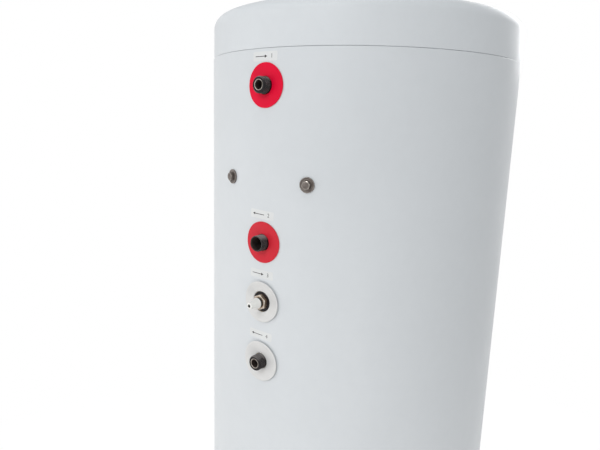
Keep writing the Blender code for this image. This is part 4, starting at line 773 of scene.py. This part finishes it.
def heavy_stub(name):
    bore, mouth, shelf = 0.0074, 0.0088, STUB_END - 0.0007
    place = pipe_stub(name, bore, [
        (0.0093, STUB_END, 0.0), (mouth, STUB_END - 0.0003, 0.0), (mouth, shelf, 0.0),
        (bore, shelf, 0.0),
    ], 0.0009, 0.0016)
    ring = softened([
        (bore + 0.0001, shelf + 0.0001), (bore + 0.0001, STUB_END - 0.00045),
        (bore + 0.0005, STUB_END - 0.00005), (mouth - 0.0003, STUB_END - 0.00005),
        (mouth - 0.0003, shelf + 0.0001),
    ], 0.0002, 2)
    seat = spun(f"{name}_sealing_mouth", ring, 60, place, "bare_ring")
    stands_for(seat, f"{name}_stub")

def thin_stub(name):
    bore = 0.01132
    inner = [(bore + 0.0004, STUB_END, 0.35), (bore, STUB_END - 0.0004, 0.2)]
    pipe_stub(name, bore, inner, 0.0006, 0.0005)

for name in ("hot_water", "recirculation", "cold_water"):
    heavy_stub(name)
for name in ("coil_inlet", "coil_outlet"):
    thin_stub(name)
print("stubs stand", round((STUB_END - JACKET_RADIUS) * 1000, 1), "mm proud of the jacket")

# %% [markdown]
# ## Hexagons
# A bolt head or a nut is a six-sided prism whose corners are turned off by a cone. The quickest
# way to get the curved arcs that this leaves on the flats is to do what the machine does: keep
# only what a hexagon and a turned blank have in common.

# %% Draw hexagons
PAST = 0.002  # how far a cutter reaches past what it cuts
BOLT_FLATS = 0.013

def hexagon_piece(name, flats, back, face, place, finish, twist, crown=0.0006):
    corner = flats / math.sqrt(3)
    blank, seat = corner * 1.004, flats / 2 * 0.95
    head = spun(name, [
        (0.0, face), (seat - crown, face), (seat, face - crown * 0.25),
        (blank, face - (blank - seat) * 0.55), (blank, back), (0.0, back),
    ], 96, place, finish)
    turned = place @ Matrix.Rotation(twist, 4, "Z")
    carve(head, [peg(corner, back - PAST, face + PAST, turned, 6)], "INTERSECT", 24)
    return head

def rub_corners(head, place, share):
    """The turned cone at the corners of a hexagon is rubbed bright."""
    rub(head, place, lambda radius, tilt: share if 0.25 < tilt < 0.975 else 0.0)

def hexagon_bolt(name, back, face, shank, tip, root, place, twist, crown=0.0006):
    """A bolt with a plain shank from its tip to a root inside the head."""
    head = hexagon_piece(name, BOLT_FLATS, back, face, place, "zinc_steel", twist, crown)
    rod = softened([(0.0, tip), (shank, tip), (shank, root), (0.0, root)], 0.0004, 2)
    carve(head, [spun("shank", rod, 32, place)], "UNION", 24)
    rub_corners(head, place, 0.7)
    return head

across_corners = round(BOLT_FLATS * 2000 / math.sqrt(3), 2)
print("hexagon 13 mm across flats is", across_corners, "mm across corners")

# %% [markdown]
# ## Bracket bolts
# Two hexagon bolts sit beside the column, each on a large washer. They wait there for a bracket
# that carries pipes or a pump. The shank behind the head goes into a boss on the vessel.

# %% Draw the bracket bolts
def round_washer(name, hole, outer, back, face, place):
    """A washer with a turned groove between its rim and its seat."""
    outline = softened([
        (hole, back), (outer, back), (outer, face - 0.0003), (outer - 0.0004, face),
        (outer - 0.0013, face), (outer - 0.0019, face - 0.0005), (outer - 0.0030, face - 0.0005),
        (outer - 0.0036, face - 0.0001), (hole, face - 0.0001),
    ], 0.0003, 2)
    washer = spun(name, outline, 96, place, "zinc_steel", 50)
    rub(washer, place, lambda radius, tilt: 0.45 if radius > outer - 0.0013 and tilt > 0.3 else 0.0)
    return washer

back = JACKET_RADIUS + 0.0026
for number, side, twist in ((1, -1, 0.35), (2, 1, 1.30)):
    place = outward(side * BOLT_TURN, BOLT_HEIGHT)
    head = hexagon_bolt(
        f"bolt_head_{number}", back, back + 0.0053, 0.004, back - 0.0171, back + 0.001,
        place, twist, crown=0.0009,
    )
    washer = round_washer(
        f"bolt_washer_{number}", 0.0043, 0.0124, JACKET_RADIUS + GAP, JACKET_RADIUS + 0.0023, place,
    )
    stands_for(head, f"bracket_bolt_{number}")
    stands_for(washer, f"bracket_washer_{number}")
print("bolts stand", round(math.degrees(BOLT_TURN), 1), "degrees to each side of the column")

# %% [markdown]
# ## The temperature sensor
# A brass nut holds a long pocket in a black steel socket. A rubber plug closes the pocket, and a
# white tapering sleeve guides the sensor's cable out of it. Between nut and sleeve a narrow neck
# is coloured black, as painted shade for the gap inside the nut. The sleeve has fine rings round
# it to grip the cable, so its outline is drawn as a row of small steps, and its bore is black as
# well, which darkens the cable hole.

# %% Draw the sensor
SLEEVE_TIP, SLEEVE_ROOT, NECK_TOP, SLEEVE_BORE = 0.3235, 0.2945, 0.3036, 0.0028
NUT_BACK, NUT_FACE = 0.2933, 0.2995

def sleeve_outline():
    made = [(SLEEVE_BORE, SLEEVE_TIP), (0.0045, SLEEVE_TIP), (0.0052, SLEEVE_TIP - 0.0007)]
    steps = 8
    for i in range(steps):
        share = (i + 0.5) / steps
        height, radius = 0.3226 - 0.0180 * share, 0.0052 + 0.0041 * share
        made += [(radius, height + 0.0007), (radius + 0.00016, height), (radius, height - 0.0007)]
    return made + [
        (0.0094, NECK_TOP + 0.0006), (0.0091, NECK_TOP), (0.0068, NECK_TOP - 0.0001),
        (0.0068, SLEEVE_ROOT), (SLEEVE_BORE, SLEEVE_ROOT),
    ]

place = outward(0, HEIGHTS["sensor"])
socket = softened([
    (0.0108, 0.2930), (SOCKET_RADIUS, 0.2930), (SOCKET_RADIUS, STUB_ROOT), (0.0108, STUB_ROOT),
], 0.0006)
plug = softened([(0.0024, 0.2942), (0.0083, 0.2942), (0.0083, 0.2793), (0.0024, 0.2793)], 0.0005, 2)
nut = hexagon_piece("sensor_hexagon", 0.024, NUT_BACK, NUT_FACE, place, "brass_metal", 0.42)
carve(nut, [peg(0.0088, NUT_BACK - PAST, NUT_FACE + PAST, place, 64)], sharp=24)
rub_corners(nut, place, 0.9)
sleeve = spun("sensor_cable_sleeve", sleeve_outline(), 72, place, "sleeve_plastic", 60)
# Black rubber on the sleeve's neck is painted shade for the gap inside the nut. The bore gets it as
# well, which darkens the hole.
second_finish(
    sleeve, place, "black_rubber",
    lambda radius, height: radius < SLEEVE_BORE + 0.0001 or height < NECK_TOP - 0.00005,
)
stands_for(spun("sensor_socket_ring", socket, 96, place, "dark_steel", 50), "sensor_socket")
stands_for(nut, "sensor_nut")
stands_for(sleeve, "sensor_sleeve")
stands_for(spun("sensor_rubber_plug", plug, 64, place, "black_rubber", 50), "sensor_seal")
print("sleeve reaches", round((SLEEVE_TIP - JACKET_RADIUS) * 1000, 1), "mm out of the jacket")

# %% [markdown]
# ## Stickers
# A small sticker above each connection says what it is. This part carries no words, so each has
# a thin arrow and a plain number instead. The number is a text object turned into mesh, and
# both are wrapped round the jacket a hair above the sticker, so that they never flicker with it.

# %% Draw the stickers
STICKER_WIDE, STICKER_TALL, STICKER_CORNER = 0.050, 0.0145, 0.0016
FILM_LIFT, FILM, INK_LIFT, INK = 0.00002, 0.00008, 0.0001, 0.00002
ARROW_START, ARROW_LONG, ARROW_HEAD = -0.40 * STICKER_WIDE, 0.50 * STICKER_WIDE, 0.0050

def printed(words, size):
    """Flat points and faces of words about their middle, from a text object."""
    text = bpy.data.curves.new("words", "FONT")
    text.body, text.size, text.align_x, text.align_y = words, size, "CENTER", "CENTER"
    holder = bpy.data.objects.new("words", text)
    maker.objects.link(holder)
    mesh = mesh_of(holder)
    bpy.data.objects.remove(holder)
    return [(v.co.x, v.co.y) for v in mesh.vertices], [tuple(f.vertices) for f in mesh.polygons]

def flat_strip(half_of, columns, start, stop, out):
    """Closed thin plate from its half-height at each place across."""
    points, faces = [], []
    for i in range(columns + 1):
        x = start + (stop - start) * i / columns
        half = half_of(x)
        points += [(x, half, out), (x, -half, out), (x, -half, 0.0), (x, half, 0.0)]
    for i in range(columns):
        a, b = 4 * i, 4 * (i + 1)
        faces += [(a + k, a + (k + 1) % 4, b + (k + 1) % 4, b + k) for k in range(4)]
    return points, faces + [(0, 1, 2, 3), tuple(4 * columns + k for k in (3, 2, 1, 0))]

def film_half(x):
    """Half the height of the sticker, less at its rounded corners."""
    inset = max(0.0, STICKER_CORNER - (STICKER_WIDE / 2 - abs(x)))
    arc = math.sqrt(max(0.0, STICKER_CORNER ** 2 - inset ** 2))
    return STICKER_TALL / 2 - STICKER_CORNER + arc

def sticker(name, above, centre, digit, to_right, tilt):
    height = HEIGHTS[name] + above

    def put(piece, shape, lift, finish, sharp=32):
        points, faces = shape
        cos, sin = math.cos(tilt), math.sin(tilt)
        turned = [(centre + x * cos - y * sin, x * sin + y * cos, z) for x, y, z in points]
        drawn = add_piece(f"{name}_{piece}", bent(turned, height, lift), faces, finish, sharp)
        rides_along(drawn)

    def arrow_half(x):
        along = ARROW_START + ARROW_LONG - x if to_right else x - ARROW_START
        return 0.00055 if along > ARROW_HEAD else 0.0024 * along / ARROW_HEAD

    film = flat_strip(film_half, 40, -STICKER_WIDE / 2, STICKER_WIDE / 2, FILM)
    arrow = flat_strip(arrow_half, 60, ARROW_START, ARROW_START + ARROW_LONG, INK)
    points, faces = printed(digit, 0.0092)
    number = [(x + STICKER_WIDE * 0.28, y, INK) for x, y in points], faces
    put("sticker", film, FILM_LIFT, "sticker_film", 60)
    put("number", number, INK_LIFT, "printed_ink")
    put("arrow", arrow, INK_LIFT, "printed_ink")

for name, *where in (
    ("hot_water", 0.044, -0.002, "1", True, 0.0),
    ("coil_inlet", 0.0465, -0.003, "2", False, -0.035),
    ("sensor", 0.048, -0.002, "3", True, 0.0),
    ("recirculation", 0.047, -0.002, "4", False, 0.0),
    ("coil_outlet", 0.047, -0.002, "5", True, 0.0),
    ("cold_water", 0.047, -0.002, "6", False, 0.0),
):
    sticker(name, *where)
print("stickers:", len(HEIGHTS))

# %% [markdown]
# ## The base and the feet
# A black moulded pan closes the bottom of the jacket, and three levelling feet carry the tank.
# Each foot has a threaded stud, so turning it raises or lowers that side. The pads are moulded,
# with a rounded rim, and the studs have a real thread because they show when a foot is let out.

# %% Draw the base and the feet
FOOT_CIRCLE = 0.196
STUD_RADIUS, STUD_PITCH, STUD_FOOT, STUD_TOP = 0.006, 0.00175, 0.0103, 0.0658
FEET = [
    Matrix.Translation((FOOT_CIRCLE * math.sin(turn), -FOOT_CIRCLE * math.cos(turn), 0))
    for turn in (math.radians(60), math.pi, math.radians(300))
]
pan_outline = softened([
    (0.0, 0.0325), (0.2885, 0.0325), (0.2885, 0.048), (0.2910, 0.048), (0.2910, 0.0325),
    (0.293, 0.0325), (0.293, 0.030), (0.0, 0.030),
], 0.0006)
pad_outline = softened([
    (0.0, 0.0092), (0.0062, 0.0092), (0.0062, 0.0297), (0.0135, 0.0297), (0.0135, 0.0112),
    (0.0245, 0.0090), (0.0260, 0.0066), (0.0260, 0.0), (0.0, 0.0),
], 0.0009)
pan = spun("base_tray", pan_outline, JACKET_SIDES, UPRIGHT, "black_plastic", 50)
carve(pan, [peg(0.0066, 0.026, 0.037, place, 32) for place in FEET], sharp=50)
stands_for(pan, "base_pan")
for number, place in enumerate(FEET, start=1):
    pad = spun(f"foot_cup_{number}", pad_outline, 72, place, "black_plastic", 50)
    stands_for(pad, f"foot_pad_{number}")
    stud = threaded_tube(
        f"foot_screw_{number}", STUD_RADIUS, STUD_PITCH, 0.0007, STUD_FOOT, 0.0115, STUD_TOP,
        [(0.0008, STUD_TOP, 0.0), (0.0008, STUD_FOOT, 0.0)], place, "zinc_steel", 40, 0.001,
    )
    stands_for(stud, f"foot_stud_{number}")
print("feet on a circle", round(2000 * FOOT_CIRCLE), "mm across")

# %% [markdown]
# ## The service cover
# On the far side a moulded cover hides the electric heating element. It is a rounded box that
# fits the curve of the jacket. It is made as the mould makes it: a rounded block, hollowed,
# trimmed to the jacket, and pierced for the controls and its four screws.

# %% Draw the service cover
COVER_WALL, COVER_FOOT, COVER_TOP = 0.0025, 0.190, 0.530
HOLE_BACK, HOLE_FRONT = 0.25, 0.325
KNOB_PLACE = outward(BACK, CONTROLS_HEIGHT, CONTROL_SIDE)
DIAL_PLACE = outward(BACK, CONTROLS_HEIGHT, -CONTROL_SIDE)
LAMP_PLACE = outward(BACK, CONTROLS_HEIGHT)
CONTROL_HOLES = ((0.0034, KNOB_PLACE, 32), (0.0224, DIAL_PLACE, 72), (0.0049, LAMP_PLACE, 32))
GLAND_PLACE = Matrix.Translation((0.080, 0.29546, 0))
SCREW_PLACES = [outward(BACK, z, side * 0.098) for side in (-1, 1) for z in (0.207, 0.513)]

def rounded_box(name, inset, finish=None):
    """The outside of the cover, or its hollow when it is inset by the wall."""
    half = 0.115 - inset
    low = (-half, 0.125 - inset, COVER_FOOT + inset)
    high = (half, COVER_FRONT - inset, COVER_TOP - inset)
    return block(name, low, high, 0.010 - inset, UPRIGHT, finish, 7)

cover = rounded_box("service_hood", 0.0, "lid_plastic")
carve(cover, [rounded_box("hollow", COVER_WALL)])
posts = [peg(0.005, HOLE_BACK, COVER_FRONT - 0.0012, place, 32) for place in SCREW_PLACES]
carve(cover, posts, "UNION")
trim = peg(JACKET_RADIUS + GAP, COVER_FOOT - 0.010, COVER_TOP + 0.010, UPRIGHT, JACKET_SIDES)
carve(cover, [trim])
holes = [peg(radius, HOLE_BACK, HOLE_FRONT, place, sides) for radius, place, sides in CONTROL_HOLES]
holes.append(peg(0.0084, 0.186, 0.1965, GLAND_PLACE, 32))
holes += [peg(0.0023, HOLE_BACK, HOLE_FRONT, place, 24) for place in SCREW_PLACES]
carve(cover, holes)
stands_for(cover, "service_cover")
print("cover faces:", len(cover.data.polygons))

# %% [markdown]
# ## Screws
# Four pan-head screws with a cross recess hold the cover. The recess is two crossed tapered
# slots. Behind the cover, six hexagon bolts clamp the service plate; they are drawn as well,
# because somebody who takes the cover off in another scene expects them.

# %% Draw the small fasteners
PLATE_BOLT_CIRCLE = 0.073

def cross_screw(number, place):
    back, face = COVER_FRONT + GAP, COVER_FRONT + 0.0027
    screw = spun(f"cover_screw_{number}", [
        (0.0, face), (0.0018, face - 0.0001), (0.0031, face - 0.0006), (0.0038, face - 0.0014),
        (0.0040, back + 0.0002), (0.0040, back), (0.0019, back), (0.0019, back - 0.0135),
        (0.0, back - 0.0148),
    ], 48, place, "zinc_steel", 45)
    slots = []
    for turn in (0.4, 0.4 + math.pi / 2):
        turned = place @ Matrix.Rotation(turn, 4, "Z")

        def ring(height, half, wide):
            corners = ((-half, -wide), (half, -wide), (half, wide), (-half, wide))
            return [turned @ Vector((x, y, height)) for x, y in corners]

        mouth, floor = ring(face + 0.001, 0.0024, 0.00048), ring(face - 0.0015, 0.0012, 0.0003)
        slots.append(prism("cutter", mouth, floor))
    carve(screw, slots, sharp=35)
    rides_along(screw)

for number, place in enumerate(SCREW_PLACES, start=1):
    cross_screw(number, place)
for number in range(6):
    turn = math.radians(60 * number)
    up, aside = PLATE_BOLT_CIRCLE * math.sin(turn), PLATE_BOLT_CIRCLE * math.cos(turn)
    bolt = hexagon_bolt(
        f"plate_bolt_{number + 1}", 0.2899, 0.2954, 0.0039, 0.270, 0.291,
        outward(BACK, PLATE_HEIGHT + up, aside), 0.3 * number,
    )
    rides_along(bolt)
print("4 cover screws and 6 plate bolts")

# %% [markdown]
# ## The knob and its scale
# The thermostat's knob is moulded, with a skirt, a grip bar and a white line that points at a
# number. Its edge is fluted, which is drawn by letting the radius rise and fall a little round
# the skirt. The numbers are printed on the cover, so they stay still when the knob turns.

# %% Draw the knob
KNOB_RADIUS, KNOB_FACE, FLUTES = 0.021, 0.3285, 24

def fluted(radius, height, turn):
    on_skirt = radius > 0.0175 and height < KNOB_FACE - 0.0001
    return radius - (0.00035 * (0.5 - 0.5 * math.cos(FLUTES * turn)) if on_skirt else 0.0)

knob_outline = softened([
    (0.0, KNOB_FACE), (0.0178, KNOB_FACE), (0.0190, 0.3273), (0.0206, 0.3205),
    (KNOB_RADIUS, 0.3185), (0.0031, 0.3185), (0.0031, 0.3262), (0.0, 0.3262),
], 0.0007)
knob = spun("knob_body", knob_outline, 144, KNOB_PLACE, "grey_plastic", 40, fluted)
grip_corners = (-0.0035, -0.0178, 0.3265), (0.0035, 0.0178, 0.3323)
carve(knob, [block("grip", *grip_corners, 0.0012, KNOB_PLACE, "grey_plastic")], "UNION", 40)
line_corners = (-0.0007, 0.0050, 0.33215), (0.0007, 0.0164, 0.33250)
line = block("knob_line", *line_corners, 0.00008, KNOB_PLACE, "dial_card", 1)
stands_for(knob, "thermostat_knob")
rides_along(line, "thermostat_control")
print("knob is", round(KNOB_RADIUS * 2000), "mm across")

# %% [markdown]
# ## Printed numbers and marks
# A scale is easy to get right with a loop: one short line per step and a number every few steps,
# each placed by its angle. The same helper serves the knob's scale and the thermometer's dial.

# %% Draw scales
def scale_marks(name, place, height, radius, first, last, steps, every, numbers, size,
                number_radius, long=0.0026, short=0.0014, wide=0.00035):
    """One mesh of ticks and numbers. Angles are clockwise from the top, in degrees."""
    points, faces = [], []

    def add(more, more_faces):
        base = len(points)
        points.extend(place @ Vector((x, y, height)) for x, y in more)
        faces.extend(tuple(base + k for k in face) for face in more_faces)

    for i in range(steps + 1):
        turn = math.radians(first + (last - first) * i / steps)
        big = i % every == 0
        length, half = (long, wide) if big else (short, wide * 0.7)
        across = Vector((math.cos(turn), -math.sin(turn)))
        along = Vector((math.sin(turn), math.cos(turn)))
        inner = radius - length
        corners = ((radius, -half), (radius, half), (inner, half), (inner, -half))
        add([along * r + across * s for r, s in corners], [(0, 1, 2, 3)])
        if big:
            flat, label_faces = printed(numbers[i // every], size)
            add([along * number_radius + Vector(spot) for spot in flat], label_faces)
    made = add_piece(name, points, faces, "printed_ink")
    rides_along(made)
    return made

knob_marks = scale_marks(
    "knob_scale", KNOB_PLACE, COVER_FRONT + 0.00005, 0.0262, 0, 270, 27, 3,
    [str(n) for n in range(10)], 0.0058, 0.0302,
)
print("knob scale faces:", len(knob_marks.data.polygons))

# %% [markdown]
# ## The thermometer
# A capillary thermometer shows the water's temperature. Under its glass lie a card with a
# printed scale and a red needle on a small hub. The bezel is a turned ring with a step, and the
# lens is a thin disc, slightly domed, that really lets light through.

# %% Draw the thermometer
case_outline = softened([
    (0.0, 0.3148), (0.0012, 0.3148), (0.0012, 0.3172), (0.0208, 0.3172), (0.0208, 0.3223),
    (0.0236, 0.3223), (0.0250, 0.3213), (0.0255, 0.3196), (0.0255, 0.3183), (0.0220, 0.3183),
    (0.0220, 0.3040), (0.0, 0.3040),
], 0.0004)
card_outline = [(0.0012, 0.3183), (0.0204, 0.3183), (0.0204, 0.3175), (0.0012, 0.3175)]
glass_outline = softened([
    (0.0, 0.3215), (0.010, 0.32145), (0.0204, 0.3212), (0.0204, 0.3203), (0.0, 0.3203),
], 0.0002, 2)
case = spun("thermometer_bezel", case_outline, 96, DIAL_PLACE, "black_plastic", 50)
stands_for(case, "thermometer_case")
card = spun("thermometer_card", card_outline, 96, DIAL_PLACE, "dial_card")
stands_for(card, "thermometer_dial")
glass = spun("thermometer_glass", glass_outline, 96, DIAL_PLACE, "lens_glass")
stands_for(glass, "thermometer_lens")
dial_marks = scale_marks(
    "thermometer_scale", DIAL_PLACE, 0.31835, 0.0192, -120, 120, 48, 8,
    [str(n) for n in range(0, 121, 20)], 0.0034, 0.0139, 0.0024, 0.0013, 0.0002,
)
print("thermometer drawn with", len(dial_marks.data.polygons), "printed faces")

# %% Draw the needle
blade = [(0.0, 0.0155), (0.0007, 0.0140), (0.0011, 0.0), (0.0009, -0.0050)]
blade += [(-x, y) for x, y in reversed(blade[1:])]
low, high = ([DIAL_PLACE @ Vector((x, y, z)) for x, y in blade] for z in (0.3191, 0.3194))
needle = prism("needle_blade", low, high, "red_lamp")
hub_outline = softened([
    (0.0, 0.3196), (0.0020, 0.3196), (0.0026, 0.3193), (0.0026, 0.3189), (0.0010, 0.3189),
    (0.0010, 0.3160), (0.0, 0.3160),
], 0.00015, 2)
carve(needle, [spun("hub", hub_outline, 48, DIAL_PLACE)], "UNION")
stands_for(needle, "thermometer_needle")
print("needle faces:", len(needle.data.polygons))

# %% [markdown]
# ## The lamp and the cable gland
# A small red lamp glows when the element heats. Its dome is ringed with ridges that spread the
# light. The gland grips the supply cable under the cover; no cable is fitted here, so its mouth
# stays open. Its cap has ribs for the fingers.

# %% Draw the lamp and the gland
DOME_RADIUS, DOME_RISE, DOME_FOOT, RIBS = 0.0045, 0.0030, 0.3195, 16

def lamp_outline():
    made = [(0.0, DOME_FOOT + DOME_RISE)]
    for i in range(1, 13):
        turn = math.radians(90 - 7.5 * i)
        ridge = 0.00010 if i % 2 else 0.0
        rise = (DOME_RISE - ridge) * math.sin(turn)
        made.append(((DOME_RADIUS - ridge) * math.cos(turn), DOME_FOOT + rise))
    return made + [
        (0.0056, 0.3195), (0.0060, 0.3192), (0.0060, 0.3183), (0.0045, 0.3183), (0.0045, 0.3020),
        (0.0, 0.3020),
    ]

def ribbed(radius, height, turn):
    on_cap = radius > 0.0085 and height < 0.1850
    return radius - (0.0004 * (0.5 + 0.5 * math.cos(RIBS * turn)) if on_cap else 0.0)

gland_outline = softened([
    (0.0045, 0.1978), (0.0080, 0.1978), (0.0080, 0.1897), (0.01075, 0.1897), (0.01075, 0.1857),
    (0.0095, 0.1857), (0.0094, 0.1800), (0.0065, 0.1717), (0.0045, 0.1717),
], 0.0005, 2)
lamp = spun("warning_lamp", lamp_outline(), 64, LAMP_PLACE, "red_lamp", 50)
gland = spun("gland_body", gland_outline, 96, GLAND_PLACE, "black_plastic", 40, ribbed)
stands_for(lamp, "indicator_lamp")
stands_for(gland, "cable_gland")
print("lamp and gland drawn")

# %% [markdown]
# ## The studio
# A pale object on a white ground needs soft light from all round, with one side a little
# stronger so that round forms still read. The floor is white to the camera through a Light Path
# switch: its own brightness is part of the colour, not more light on the object, and it still
# takes the object's shadow. Away from the object it fades to plain white, so that no horizon
# line shows. The world does the same for what lies behind.

# %% Floor and world
FLOOR_HALF = 30.0
FADE_FROM, FADE_TO = 0.55, 1.45
NEAR_GLOW, WORLD_LIGHT = 0.44, 0.60
COOL, WARM, PLAIN = (0.97, 0.985, 1.0), (1.0, 0.965, 0.93), (1.0, 1.0, 1.0)

def glow(tree, kind, strength, tint=PLAIN):
    """Plain light from a surface or from the world."""
    node = tree.nodes.new(kind)
    set_inputs(node, {"Color": (*tint, 1), "Strength": strength})
    return node.outputs[0]

def joined(tree, kind, *parts):
    """Two shaders added, or mixed by the share that comes first."""
    node = tree.nodes.new(kind)
    for socket, part in zip(node.inputs, parts):
        tree.links.new(part, socket)
    return node.outputs[0]

def seen_directly(tree):
    """1 for camera, glossy and see-through rays."""
    rays = tree.nodes.new("ShaderNodeLightPath").outputs
    share = sums(tree, "MAXIMUM", rays["Is Camera Ray"], rays["Is Glossy Ray"])
    return sums(tree, "MAXIMUM", share, rays["Is Transmission Ray"])

def studio_floor():
    corners = [(x * FLOOR_HALF, y * FLOOR_HALF, 0) for x, y in ((-1, -1), (1, -1), (1, 1), (-1, 1))]
    floor = add_piece("studio_floor", corners, [(0, 1, 2, 3)])
    made, tree, shader = new_material(
        "floor_white", Base_Color=(0.58, 0.58, 0.58, 1), Roughness=0.9, Specular_IOR_Level=0.1,
    )
    where = tree.nodes.new("ShaderNodeTexCoord")
    away = tree.nodes.new("ShaderNodeVectorMath")
    away.operation = "LENGTH"
    tree.links.new(where.outputs["Object"], away.inputs[0])
    distant = ramp(tree, away.outputs["Value"], FADE_FROM, FADE_TO)
    plain = shader.outputs[0]
    near, far = glow(tree, "ShaderNodeEmission", NEAR_GLOW), glow(tree, "ShaderNodeEmission", 1.0)
    near = joined(tree, "ShaderNodeAddShader", plain, near)
    faded = joined(tree, "ShaderNodeMixShader", distant, near, far)
    shown = joined(tree, "ShaderNodeMixShader", seen_directly(tree), plain, faded)
    tree.links.new(shown, tree.nodes["Material Output"].inputs["Surface"])
    floor.data.materials.append(made)

def studio_world():
    world = bpy.data.worlds.new("studio_world")
    world.use_nodes = True
    tree = world.node_tree
    tree.nodes.clear()
    light = glow(tree, "ShaderNodeBackground", WORLD_LIGHT, COOL)
    backdrop = glow(tree, "ShaderNodeBackground", 1.0)
    shown = joined(tree, "ShaderNodeMixShader", seen_directly(tree), light, backdrop)
    tree.links.new(shown, tree.nodes.new("ShaderNodeOutputWorld").inputs["Surface"])
    bpy.context.scene.world = world

studio_floor()
studio_world()
print("floor and world are white to the camera")

# %% [markdown]
# ## Lamps
# The shadows of the stubs fall almost straight down, so the main lamp stands high in front of
# the column. Two low, slightly warm lamps, a wide one on the left and a small one on the right,
# lift the lower part of the jacket as light from a pale studio floor does. A weak one overhead
# draws fine lights on the threads, and one behind the tank serves the views of the service side.
# The camera doesn't see the lamps themselves, so none of them shows as a disc in a wide view, and
# the two low lamps stand for light from a matt floor, so they aren't mirrored in the paint
# either. Seen from the side, the glossy jacket would otherwise show them as a burnt-out patch.

# %% Place the lamps
LAMPS = {
    # name: (place, target, wide, tall, power, tint, mirrored)
    "main_lamp": ((0.25, -2.7, 2.6), (0, -0.2, 0.9), 0.9, 0.9, 20.6, COOL, True),
    "top_lamp": ((0.3, -0.9, 3.0), (0, -0.2, 1.1), 0.4, 0.4, 3.2, COOL, True),
    "low_left_lamp": ((-1.55, -1.55, 0.62), (-0.15, -0.15, 0.5), 3.2, 1.0, 16.0, WARM, False),
    "low_right_lamp": ((1.0, -1.2, 0.28), (0.1, -0.2, 0.7), 1.2, 0.5, 4.4, WARM, False),
    "rear_lamp": ((0.3, 3.0, 2.4), (0, 0, 0.6), 1.8, 1.8, 52.0, PLAIN, True),
}
for name, (place, target, wide, tall, power, tint, mirrored) in LAMPS.items():
    light = bpy.data.lights.new(name, "AREA")
    light.shape, light.size, light.size_y, light.energy = "ELLIPSE", wide, tall, power
    light.color = tint
    lamp = bpy.data.objects.new(name, light)
    lamp.location = place
    lamp.rotation_euler = (Vector(target) - Vector(place)).to_track_quat("-Z", "Y").to_euler()
    lamp.visible_camera, lamp.visible_glossy = False, mirrored
    bpy.context.scene.collection.objects.link(lamp)
print(len(LAMPS), "lamps")

# %% [markdown]
# ## The camera
# The camera was fitted to the photo: its distance, height and tilt make the jacket's edge, the
# seam and every fitting fall on the same pixels. The photo shows a close crop of the upper part,
# so the camera stands near the tank, a little to its right, and looks slightly down. Its place is
# a chain of turns, read from the left: round the tank, back and up, aside, down, and a small roll.

# %% Place the camera
DISTANCE, EYE_HEIGHT, ROUND_TURN = 1.0889, 1.1795, 0.5414
DOWN, ASIDE, ROLL = 0.1949, -0.1056, 0.0308
LENS = 31.396

data = bpy.data.cameras.new("photo_camera")
data.lens, data.sensor_width, data.clip_start = LENS, 36.0, 0.02
camera = bpy.data.objects.new("photo_camera", data)
camera.matrix_world = (
    Matrix.Rotation(ROUND_TURN, 4, "Z") @ Matrix.Translation((0, -DISTANCE, EYE_HEIGHT))
    @ Matrix.Rotation(-ASIDE, 4, "Z") @ Matrix.Rotation(math.pi / 2 - DOWN, 4, "X")
    @ Matrix.Rotation(ROLL, 4, "Z")
)
bpy.context.scene.collection.objects.link(camera)
bpy.context.scene.camera = camera
bpy.context.scene.view_settings.view_transform = "Standard"
print("camera at", [round(v, 3) for v in camera.matrix_world.translation])
